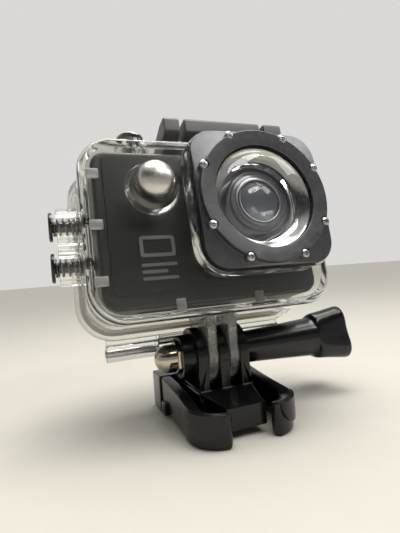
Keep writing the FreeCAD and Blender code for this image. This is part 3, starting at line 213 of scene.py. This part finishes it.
plastic("lens_black", (0.12, 0.122, 0.134), (0.15, 0.152, 0.166), 0.20,
        grain=1.5, height=0.0004, spread=0.03, Coat_Weight=0.5)
metal("lens_metal", (0.30, 0.30, 0.32), (0.38, 0.38, 0.40), 0.28, height=0.0006)
plastic("sensor", (0.02, 0.03, 0.05), (0.05, 0.03, 0.06), 0.12, grain=6.0, height=0.001)
plastic("board", (0.005, 0.035, 0.018), (0.010, 0.055, 0.030), 0.35, grain=5.0)
plastic("battery_wrap", (0.05, 0.055, 0.065), (0.07, 0.075, 0.085), 0.4, grain=1.5)
plastic("card", (0.01, 0.01, 0.012), (0.02, 0.02, 0.022), 0.4, grain=5.0, height=0.004)
plastic("rubber_black", (0.008, 0.008, 0.008), (0.014, 0.014, 0.014), 0.6, grain=6.0)
plastic("silicone", (0.62, 0.62, 0.60), (0.70, 0.70, 0.68), 0.45, grain=3.0,
        Subsurface_Weight=0.2)


# ---------------------------------------------------------------- shapes
# Profiles and sections are in millimetres; a place matrix turns them into metres.
SLOT_OF = {part["node"]: part["material_slot"] for part in frame["record"]["subparts"]}
TILT = next(j for j in frame["joints"] if j["name"] == "case_tilt")
PIVOT = Vector(TILT["pos_m"])
LEAN = math.radians(-12)
CASE = Matrix.Translation(PIVOT) @ Matrix.Rotation(LEAN, 4, "X") @ Matrix.Scale(MM, 4)
MOUNT = Matrix.Translation((0, 0, PIVOT.z)) @ Matrix.Scale(MM, 4)
GROUND = Matrix.Scale(MM, 4)
WELD = 0.002 * MM
FLAT_ANGLE, BEVEL_ANGLE, SHARP_ANGLE = (math.radians(a) for a in (0.6, 32, 40))
FILLET_STEPS = 4
FILLET_SHARE = 0.48


def add_piece(name, mesh, body, material, replaced=()):
    """Puts a mesh in the scene on its CAD body, in place of the named nodes."""
    mesh.materials.clear()
    mesh.materials.append(M[material])
    piece = bpy.data.objects.new(name, mesh)
    bpy.context.scene.collection.objects.link(piece)
    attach(piece, body)
    if replaced:
        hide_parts(*replaced)
    return piece


def smooth_mesh(name, work, sharp_angle):
    """Turns a finished bmesh into a smooth-shaded mesh with sharp edges above the angle."""
    for face in work.faces:
        face.smooth = True
    mesh = bpy.data.meshes.new(name)
    work.to_mesh(mesh)
    work.free()
    if "custom_normal" in mesh.attributes:
        mesh.attributes.remove(mesh.attributes["custom_normal"])
    mesh.set_sharp_from_angle(angle=sharp_angle)
    return mesh


def moulded(node_name, width, material):
    """The node's own solid with its sharp edges rounded, as a moulded part's are."""
    work = bmesh.new()
    work.from_mesh(NODES[node_name].data)
    bmesh.ops.remove_doubles(work, verts=work.verts, dist=WELD)
    bmesh.ops.dissolve_degenerate(work, edges=work.edges, dist=WELD)
    bmesh.ops.dissolve_limit(work, angle_limit=FLAT_ANGLE, verts=work.verts, edges=work.edges)
    edges = [e for e in work.edges if e.is_manifold and e.calc_face_angle(0) > BEVEL_ANGLE]
    bmesh.ops.bevel(work, geom=edges, offset=width * MM, offset_type="OFFSET", segments=2,
                    profile=0.5, affect="EDGES", clamp_overlap=False)
    mesh = smooth_mesh(node_name + "_moulded", work, SHARP_ANGLE)
    slot = SLOT_OF[node_name]
    body = NODES[node_name]["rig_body"]
    piece = add_piece(node_name + "_moulded", mesh, body, material or slot, [node_name])
    piece.modifiers.new("Weighted", "WEIGHTED_NORMAL").keep_sharp = True


def closed_mesh(name, loops, place, sharp=50, wrap=False):
    """Skins a row of equal loops of points; the ends are capped, or joined if wrap."""
    work = bmesh.new()
    rows = [[work.verts.new(place @ Vector(point)) for point in loop] for loop in loops]
    count = len(rows[0])
    pairs = list(zip(rows, rows[1:])) + ([(rows[-1], rows[0])] if wrap else [])
    for low, high in pairs:
        for at in range(count):
            after = (at + 1) % count
            work.faces.new((low[at], low[after], high[after], high[at]))
    if not wrap:
        work.faces.new(list(reversed(rows[0])))
        work.faces.new(rows[-1])
    bmesh.ops.remove_doubles(work, verts=work.verts, dist=1e-7)
    bmesh.ops.recalc_face_normals(work, faces=work.faces)
    return smooth_mesh(name, work, math.radians(sharp))


def fillet(before, here, after, size):
    """The points that round one corner, along a quadratic curve."""
    start = here + (before - here).normalized() * size
    end = here + (after - here).normalized() * size
    points = []
    for step in range(FILLET_STEPS + 1):
        t = step / FILLET_STEPS
        points.append(start * (1 - t) ** 2 + here * 2 * t * (1 - t) + end * t ** 2)
    return points


def rounded_profile(corners):
    """Turns (radius, height, fillet) corners into points; the two ends stay as they are."""
    points = []
    for at, (r, h, size) in enumerate(corners):
        here = Vector((r, h))
        if size == 0 or at in (0, len(corners) - 1):
            points.append(here)
        else:
            before, after = Vector(corners[at - 1][:2]), Vector(corners[at + 1][:2])
            points += fillet(before, here, after, size)
    return points


def rounded_loop(corners, size):
    """A closed loop of corners, each rounded by up to the size."""
    points = []
    for at, corner in enumerate(corners):
        here, before = Vector(corner), Vector(corners[at - 1])
        after = Vector(corners[(at + 1) % len(corners)])
        room = min(size, (before - here).length * FILLET_SHARE,
                   (after - here).length * FILLET_SHARE)
        points += fillet(before, here, after, room)
    return points


def rectangle(x0, x1, z0, z1, inset=0.0):
    """The corners of an upright rectangle, drawn in by the inset."""
    return [(x0 + inset, z0 + inset), (x1 - inset, z0 + inset), (x1 - inset, z1 - inset),
            (x0 + inset, z1 - inset)]


def full_turn(steps):
    """The angles of one turn in equal steps."""
    return [TURN * k / steps for k in range(steps)]


def lathe(name, corners, place, segments=96, wrap=False):
    """A solid turned about local Z from (radius, height, fillet) corners; wrap makes a ring."""
    loops = [[(r * math.cos(turn), r * math.sin(turn), h) for turn in full_turn(segments)]
             for r, h in rounded_profile(corners)]
    return closed_mesh(name, loops, place, 35, wrap)


def facing(first, second, out="front"):
    """A local frame on the case whose Z axis points out of that side."""
    turn = {"front": Matrix.Rotation(math.pi / 2, 4, "X"), "top": Matrix.Identity(4),
            "left": Matrix.Rotation(-math.pi / 2, 4, "Y")}[out]
    at = {"front": (first, 0, second), "top": (first, second, 0), "left": (0, first, second)}[out]
    return CASE @ Matrix.Translation(at) @ turn


def node_centre(node_name):
    """The middle of a node's box, in the case's own millimetres."""
    low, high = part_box(node_name)
    return CASE.inverted() @ ((low + high) / 2)


# ---------------------------------------------------------------- lens and window
LENS = node_centre("lens_bezel")
LENS_FRAME = facing(LENS.x, LENS.z)
WINDOW = [
    (0, 23.1, 0), (6.5, 22.95, 1), (12.2, 22.55, 0.6), (13.75, 22.5, 0.1), (13.75, 23.4, 0.6),
    (12.2, 24.3, 1.3), (6, 24.85, 2), (0, 24.95, 0),
]
WALL_RING = [
    (10.6, 20.5, 0), (11.4, 20.7, 0.4), (13.2, 21.45, 0.5), (13.75, 21.9, 0.1),
    (13.75, 20.4, 0.1), (10.6, 19.6, 0),
]
BARREL = [
    (4.4, 12.0, 0), (4.4, 13.9, 0), (5.6, 18.6, 0.1), (6.6, 19.2, 0.1), (6.7, 19.55, 0.1),
    (7.6, 19.35, 0.12), (7.8, 19.25, 0.1), (7.9, 18.95, 0.06), (8.1, 18.9, 0.06),
    (8.2, 19.1, 0.1), (8.6, 18.95, 0.1), (8.8, 18.3, 0.1), (9.5, 18.1, 0.1), (9.6, 18.95, 0.12),
    (9.95, 19.1, 0.12), (10.4, 18.6, 0.15), (10.4, 13.05, 0), (9.3, 13.05, 0), (9.3, 5.0, 0),
    (4.4, 5.0, 0),
]
RING = [
    (5.5, 18.3, 0), (5.5, 19.6, 0.1), (5.65, 20.15, 0.08), (5.95, 20.2, 0.08), (6.1, 19.75, 0.1),
    (6.65, 19.62, 0.08), (6.65, 18.9, 0),
]
GLASS = [
    (0, 18.9, 0), (5.4, 18.6, 0.1), (5.4, 19.9, 0.15), (4.6, 20.35, 0.5), (3.2, 20.75, 0.8),
    (1.6, 21.0, 0.8), (0, 21.1, 0),
]
REAR = [(0, 9.0, 0), (4.3, 9.0, 0.1), (4.3, 14.0, 0.1), (5.3, 18.4, 0.1), (0, 18.6, 0)]
LENS_PIECES = [
    ("window_port", WINDOW, 128, False, "window", ["window_glass"], "window"),
    ("window_wall", WALL_RING, 128, True, "lens_wall", (), "lens_metal"),
    ("lens_barrel_turned", BARREL, 128, True, "lens_black", ["lens_barrel"], "lens_black"),
    ("lens_ring_turned", RING, 128, True, "lens_metal", ["lens_ring"], "lens_metal"),
    ("lens_front_element", GLASS, 96, False, "lens_glass", ["lens_front_glass"], "lens_glass"),
    ("lens_inner_element", REAR, 96, False, "lens_inner", ["lens_rear_group"], "lens_glass"),
]
for name, profile, segments, wrap, material, replaced, slot in LENS_PIECES:
    turned = lathe(name, profile, LENS_FRAME, segments, wrap)
    add_piece(name, turned, "case", material, replaced)


# ---------------------------------------------------------------- frosted tips of the ribs
RIB_FILLET = 0.35
RIB_LAYERS = ((-14.16, 0.12), (-14.04, 0.0), (-13.16, 0.0), (-13.04, 0.12))
SIDE_RIB_X, FOOT_RIB_Z = (-32.0, -28.85), (10.9, 13.95)
RIBS = {
    "rib_upper": (*SIDE_RIB_X, 45.75, 48.05), "rib_middle": (*SIDE_RIB_X, 32.45, 34.75),
    "rib_lower": (*SIDE_RIB_X, 18.55, 20.85), "rib_left": (-13.25, -10.95, *FOOT_RIB_Z),
    "rib_right": (8.35, 10.65, *FOOT_RIB_Z),
}
for name, sides in RIBS.items():
    loops = [[(x, y, z) for x, z in rounded_loop(rectangle(*sides, inset), RIB_FILLET)]
             for y, inset in RIB_LAYERS]
    add_piece(name, closed_mesh(name, loops, CASE), "case", "frosted", ())


# ---------------------------------------------------------------- milky cores of the prongs
# The outline of a prong about the bolt axis. Each side is given by y at the axis and y at
# PRONG_RISE above it.
PRONG_ROUND, PRONG_TOP, PRONG_RISE = 7.15, 9.3, 10
PRONG_FRONT, PRONG_REAR = (-7.05, -9.2), (7.0, 6.3)
PRONG_MIDDLE, CORE_HALF, CORE_HOLE, CORE_STEPS = 3.0, 1.05, 3.0, 72
NEVER = 99


def prong_edge(turn):
    """How far a prong's outline is from the bolt axis: round below, straight-sided above."""
    y, z = math.cos(turn), math.sin(turn)
    if z <= 0:
        return PRONG_ROUND
    low, high = PRONG_FRONT if y < 0 else PRONG_REAR
    across = y - (high - low) / PRONG_RISE * z
    side = low / across if abs(across) > 1e-6 else NEVER
    return min(side if side > 0 else NEVER, PRONG_TOP / z)


for name, x in (("prong_core_left", -PRONG_MIDDLE), ("prong_core_right", PRONG_MIDDLE)):
    rings = []
    for offset, hole in ((-CORE_HALF, False), (CORE_HALF, False), (CORE_HALF, True),
                         (-CORE_HALF, True)):
        ring = []
        for turn in full_turn(CORE_STEPS):
            reach = CORE_HOLE if hole else prong_edge(turn)
            ring.append((x + offset, reach * math.cos(turn), reach * math.sin(turn)))
        rings.append(ring)
    core = closed_mesh(name, rings, CASE, wrap=True)
    add_piece(name, core, "case", "haze", ())


# ---------------------------------------------------------------- coil springs
COIL_RADIUS, WIRE, SEAT_GAP = 2.2, 0.22, 0.22
STEPS_A_TURN, WIRE_STEPS = 28, 10
CLOSED_END, OPEN_PART = 0.12, 0.76
EASED, STEADY = 0.35, 0.65


def coil(button, axis_place, wall, top, turns=5.5):
    """A round-wire compression spring with closed ends."""
    low, high = wall + SEAT_GAP, wall + top
    steps = int(turns * STEPS_A_TURN)
    loops = []
    for k in range(steps + 1):
        t = k / steps
        climb = min(1, max(0, (t - CLOSED_END) / OPEN_PART))
        lift = EASED * (0.5 - 0.5 * math.cos(math.pi * climb)) + STEADY * climb
        height = low + WIRE + (high - low - 2 * WIRE) * lift
        turn = TURN * turns * t
        ring = []
        for around in full_turn(WIRE_STEPS):
            r = COIL_RADIUS + WIRE * math.cos(around)
            ring.append((r * math.cos(turn), r * math.sin(turn), height + WIRE * math.sin(around)))
        loops.append(ring)
    mesh = closed_mesh(button + "_coil", loops, axis_place, 60)
    piece = add_piece(button + "_coil", mesh, "case", "spring_wire", [button + "_spring"])
    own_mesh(piece)


# ---------------------------------------------------------------- push buttons
# How far out of the case's middle each outer wall is
FRONT_WALL, TOP_WALL, SIDE_WALL = 16.0, 56.2, 33.9
DOME = [(r, FRONT_WALL + rise, size) for r, rise, size in (
    (0, -2.4, 0), (1.4, -2.4, 0.1), (1.4, -0.75, 0), (1.0, -0.75, 0), (1.0, 0.15, 0),
    (1.4, 0.15, 0), (1.4, 4.0, 0.1), (4.3, 4.0, 0.25), (4.6, 4.3, 0.2), (4.6, 5.5, 0.5),
    (4.25, 6.4, 0.5), (3.3, 7.35, 0.6), (1.8, 8.0, 0.8), (0, 8.2, 0),
)]
FRONT = node_centre("front_button")
FRONT_FRAME = facing(FRONT.x, FRONT.z)
add_piece("front_button_dome", lathe("front_button_dome", DOME, FRONT_FRAME), "front_button",
          "satin_chrome", ["front_button"])
coil("front_button", FRONT_FRAME, FRONT_WALL, 3.78, turns=4)
TOP = node_centre("top_button")
coil("top_button", facing(TOP.x, TOP.y, "top"), TOP_WALL, 5.78)
for button in ("side_button_upper", "side_button_lower"):
    at = node_centre(button)
    coil(button, facing(at.y, at.z, "left"), SIDE_WALL, 6.28)


# ---------------------------------------------------------------- the thumbscrew
LOBES, FIRST_LOBE, LOBE_POWER, KNOB_STEPS = 3, math.radians(105), 1.25, 120
# (distance along the bolt, radius between lobes, radius on a lobe)
KNOB = [
    (7.5, 2.6, 2.6), (7.5, 4.1, 4.1), (7.6, 4.3, 4.3), (7.9, 4.42, 4.42), (14, 4.72, 4.72),
    (20, 5.08, 5.08), (26, 5.45, 5.45), (30, 5.7, 5.7), (31.7, 5.8, 5.82), (32.0, 5.85, 6.1),
    (32.2, 5.9, 6.8), (32.6, 5.9, 7.2), (33.4, 5.88, 7.4), (35.5, 5.85, 7.7), (37.5, 5.85, 8.05),
    (40.0, 5.9, 8.5), (41.5, 5.95, 8.76), (42.2, 5.9, 8.7), (42.6, 5.65, 8.4), (42.8, 5.2, 7.9),
    (42.8, 4.4, 6.6), (42.55, 4.1, 6.1), (42.3, 3.2, 4.4), (42.25, 1.2, 1.4),
]


def lobed(x, core, lobe):
    """One section of the knob: three lobes over a round core."""
    points = []
    for turn in full_turn(KNOB_STEPS):
        swell = (0.5 + 0.5 * math.cos(LOBES * (turn - FIRST_LOBE))) ** LOBE_POWER
        r = core + (lobe - core) * swell
        points.append((x, r * math.cos(turn), r * math.sin(turn)))
    return points


knob = closed_mesh("thumbscrew_grip", [lobed(*section) for section in KNOB], MOUNT)
add_piece("thumbscrew_grip", knob, "thumbscrew", "black_gloss", ["thumbscrew_knob"])


# ---------------------------------------------------------------- the squeeze arms
ARM_FOOT = 0.6
BEAM_X, BEAM_HALF, BEAM_FILLET, BEAM_TOP = 12.45, 1.5, 0.5, 10.2
BEAM_ROOT = 7.85
BEAM_SECTIONS = (BEAM_ROOT, 7.6, 6, 3, 0, -3, -6, -9, -11, -12.4)
BEAM_BOW, BOW_LENGTH, BEAM_FALL, FALL_LENGTH = 0.35, 22, 1.75, 21
PAD = Vector((5.2, -13.4))
PAD_MIDDLE, PAD_HALF, PAD_OUTER, PAD_END, PAD_STEPS, PAD_FILLET = 7.25, 1.55, 8.8, 88, 24, 0.6
PAD_TOP, PAD_FALL, PAD_DISH = 8.45, 0.15, 0.9
TIP_SHARE, TIP_HALF, TIP_RISE, TIP_FALL = 0.12, 0.35, 1.0, 0.9
GRIP_START, GRIP_END, GRIP_TOP, GRIP_DROP, GRIP_PROUD = 12, 80, 8.1, 5.9, 0.7
GRIP_STEPS, GRIP_ROOT, GRIP_FILLET, GRIP_LEAST_DROP, GRIP_LIP = 24, -0.4, 0.35, 0.25, 0.1
PROUD_LEAST, PROUD_RUN = 0.15, 3.2
TOOTH_LAYERS = ((13.0, 0), (14.5, 0), (14.75, 0.25))
TOOTH_FRONT, TOOTH_REAR, TOOTH_TOP, TOOTH_FILLET = 3, 6, 4, 0.3


def across_path(side, centre, out, loop):
    """Places a (u, z) loop upright at a point of a path, mirrored for the left side."""
    return [(side * (centre[0] + out[0] * u), centre[1] + out[1] * u, z) for u, z in loop]


def pad_direction(degrees):
    """Which way is out at an angle round the finger pad, from straight sideways."""
    angle = math.radians(degrees)
    return math.cos(angle), -math.sin(angle)


def arm_beam(side):
    """A straight springy beam that runs into a curved finger pad with a rounded end."""
    loops = []
    for y in BEAM_SECTIONS:
        along = BEAM_ROOT - y
        half = BEAM_HALF * min(1, along * 2 + 0.6)
        bow = BEAM_BOW * math.sin(math.pi * along / BOW_LENGTH)
        top = BEAM_TOP - BEAM_FALL * along / FALL_LENGTH
        loop = rounded_loop(rectangle(-half, half, ARM_FOOT, top), BEAM_FILLET)
        loops.append(across_path(side, (BEAM_X - bow, y), (1, 0), loop))
    for k in range(PAD_STEPS + 1):
        t = k / PAD_STEPS
        out = pad_direction(PAD_END * t)
        tip = min(1, (1 - t) / TIP_SHARE)
        keep = math.sqrt(max(0.0, 1 - (1 - tip) ** 2))
        half = PAD_HALF * (TIP_HALF + (1 - TIP_HALF) * keep)
        low = ARM_FOOT * (1 - min(1, t * 5)) + TIP_RISE * (1 - keep)
        top_out = PAD_TOP - PAD_FALL * t - TIP_FALL * (1 - keep)
        top_in = top_out - PAD_DISH * min(1, t * 3)
        corners = [(-half, low), (half, low), (half, top_out), (-half, top_in)]
        loop = rounded_loop(corners, PAD_FILLET)
        loops.append(across_path(side, PAD + Vector(out) * PAD_MIDDLE, out, loop))
    return loops


def arm_grip(side):
    """A raised shield on the outer face of the pad: straight along the top, round below."""
    loops = []
    for k in range(GRIP_STEPS + 1):
        t = 2 * k / GRIP_STEPS - 1
        out = pad_direction((GRIP_START + GRIP_END) / 2 + t * (GRIP_END - GRIP_START) / 2)
        drop = GRIP_DROP * math.sqrt(max(0.0, 1 - t * t))
        proud = GRIP_PROUD * min(1, PROUD_LEAST + drop / PROUD_RUN)
        low = GRIP_TOP - max(drop, GRIP_LEAST_DROP)
        corners = [(GRIP_ROOT, low), (proud, low + GRIP_LIP), (proud, GRIP_TOP),
                   (GRIP_ROOT, GRIP_TOP)]
        loop = rounded_loop(corners, GRIP_FILLET)
        loops.append(across_path(side, PAD + Vector(out) * PAD_OUTER, out, loop))
    return loops


def arm_tooth(side):
    """The catch on the outside of the beam, with a sloped front."""
    loops = []
    for x, inset in TOOTH_LAYERS:
        low, top = ARM_FOOT + inset, TOOTH_TOP - inset
        rear = TOOTH_REAR - inset
        corners = [(TOOTH_FRONT + inset, low), (rear, low), (rear, top),
                   (TOOTH_FRONT + 3 * inset, top)]
        loops.append([(side * x, y, z) for y, z in rounded_loop(corners, TOOTH_FILLET)])
    return loops


for side, hand in ((-1, "left"), (1, "right")):
    arm = "buckle_arm_" + hand
    for part, loops, sharp, replaced in (("_beam", arm_beam(side), 50, [arm]),
                                         ("_grip", arm_grip(side), 60, ()),
                                         ("_tooth", arm_tooth(side), 50, ())):
        mesh = closed_mesh(arm + part, loops, GROUND, sharp)
        add_piece(arm + part, mesh, "squeeze_" + hand, "black_satin", replaced)


# ---------------------------------------------------------------- the rest keeps its solid's shape
EDGE = 0.1
WIDTHS = {
    "latch_lever": 0.45, "latch_hook": 0.45, "buckle_base": 0.4, "case_front_shell": 0.22,
    "case_door": 0.22, "lens_bezel": 0.12, "camera_front_panel": 0.15, "bezel_screws": 0.05,
    "camera_print": 0.03, "acorn_nut": 0.2, "main_board": 0.08,
}
FINISH = {
    "lens_bezel": "bezel", "latch_lever": "latch", "latch_hook": "latch", "bezel_screws": "steel",
    "acorn_nut": "warm_chrome",
}
for name, solid in NODES.items():
    if not solid.hide_render:
        moulded(name, WIDTHS.get(name, EDGE), FINISH.get(name))
for name, solid in NODES.items():
    solid.data.materials.clear()
    solid.data.materials.append(M[SLOT_OF[name]])


# ---------------------------------------------------------------- the studio
FLOOR_RADIUS = 3.0
DARK, LIGHT, BACKDROP = (0.02, 0.02, 0.022), (0.60, 0.59, 0.58), (0.70, 0.69, 0.68)
SUN_COLOR, WARM, NEUTRAL = (1.0, 0.98, 0.94), (1.0, 0.985, 0.95), (1.0, 0.99, 0.97)
# (name, place, target, size, power, colour)
LAMPS = [
    ("overhead", (0.0, 0.02, 0.32), (0.01, 0, 0.04), (0.20, 0.14), 0.6, WARM),
    ("lens_spot", (0.1006, -0.226, 0.339), (0.014, -0.02, 0.055), (0.10, 0.06), 0.16, NEUTRAL),
    ("edge_light", (0.164, -0.178, 0.336), (0, -0.02, 0.01), (0.07, 0.05), 0.13, NEUTRAL),
    ("knob_light", (0.24, -0.11, 0.28), (0.03, 0, 0.02), (0.12, 0.08), 0.15, NEUTRAL),
]


def add_object(name, data):
    """Puts an object with the given data in the scene."""
    made = bpy.data.objects.new(name, data)
    bpy.context.scene.collection.objects.link(made)
    return made


def area(name, place, target, size, power, color):
    """A rectangular lamp at a place, turned to its target."""
    light = bpy.data.lights.new(name, "AREA")
    light.shape, light.size, light.size_y = "RECTANGLE", size[0], size[1]
    light.energy, light.color = power, color
    lamp = add_object(name, light)
    lamp.location = place
    lamp.rotation_euler = (Vector(target) - Vector(place)).to_track_quat("-Z", "Y").to_euler()


floor_mesh = bpy.data.meshes.new("floor")
disc = bmesh.new()
bmesh.ops.create_circle(disc, cap_ends=True, segments=96, radius=FLOOR_RADIUS)
disc.to_mesh(floor_mesh)
disc.free()
floor = add_object("floor", floor_mesh)
plastic("floor_finish", (0.635, 0.61, 0.545), (0.65, 0.625, 0.56), 0.65, grain=0.4)
floor_mesh.materials.append(M["floor_finish"])

# The object is lit from behind, from above and from a low zone in front, which is what the
# clear shell and the chrome mirror. The camera itself sees a plain backdrop.
world = bpy.data.worlds.new("studio")
bpy.context.scene.world = world
world.use_nodes = True
tree = world.node_tree
sky = tree.nodes["Background"]
sky.inputs["Strength"].default_value = 1.0
where = node(tree, "ShaderNodeTexCoord")
split = node(tree, "ShaderNodeSeparateXYZ")
tree.links.new(where.outputs["Generated"], split.inputs[0])
behind = ramp(tree, split.outputs["Y"], -0.30, 0.45, 0.0, 1.0)
above = ramp(tree, split.outputs["Z"], 0.70, 0.90, 0.0, 1.0)
low = ramp(tree, split.outputs["Z"], 0.26, 0.44, 1.0, 0.0)
leftness = ramp(tree, split.outputs["X"], -0.4, 0.6, 0.65, 0.55)
front = combine(tree, "MULTIPLY", low, leftness)
rear = combine(tree, "MAXIMUM", behind, above)
either = combine(tree, "MAXIMUM", rear, front)
tree.links.new(ramp(tree, either, 0.0, 1.0, DARK, LIGHT), sky.inputs["Color"])
plain = node(tree, "ShaderNodeBackground", Color=(*BACKDROP, 1))
path = node(tree, "ShaderNodeLightPath")
mix_by(tree, path.outputs["Is Camera Ray"], sky.outputs[0], plain.outputs[0],
       tree.nodes["World Output"])

sun_data = bpy.data.lights.new("soft_sun", "SUN")
sun_data.energy, sun_data.angle, sun_data.color = 1.1, math.radians(30), SUN_COLOR
sun = add_object("soft_sun", sun_data)
sun.rotation_euler = Vector((0.30, -0.05, 1.0)).to_track_quat("Z", "Y").to_euler()
for lamp in LAMPS:
    area(*lamp)

camera_data = bpy.data.cameras.new("camera")
camera_data.lens = 25.33
camera_data.sensor_width = 36.0
camera_data.clip_start = 0.005
camera = add_object("camera", camera_data)
camera.location = (-0.03949, -0.09866, 0.04027)
camera.rotation_euler = [math.radians(a) for a in (90.524, 4.265, -20.610)]
bpy.context.scene.camera = camera
bpy.context.scene.view_settings.view_transform = "Standard"
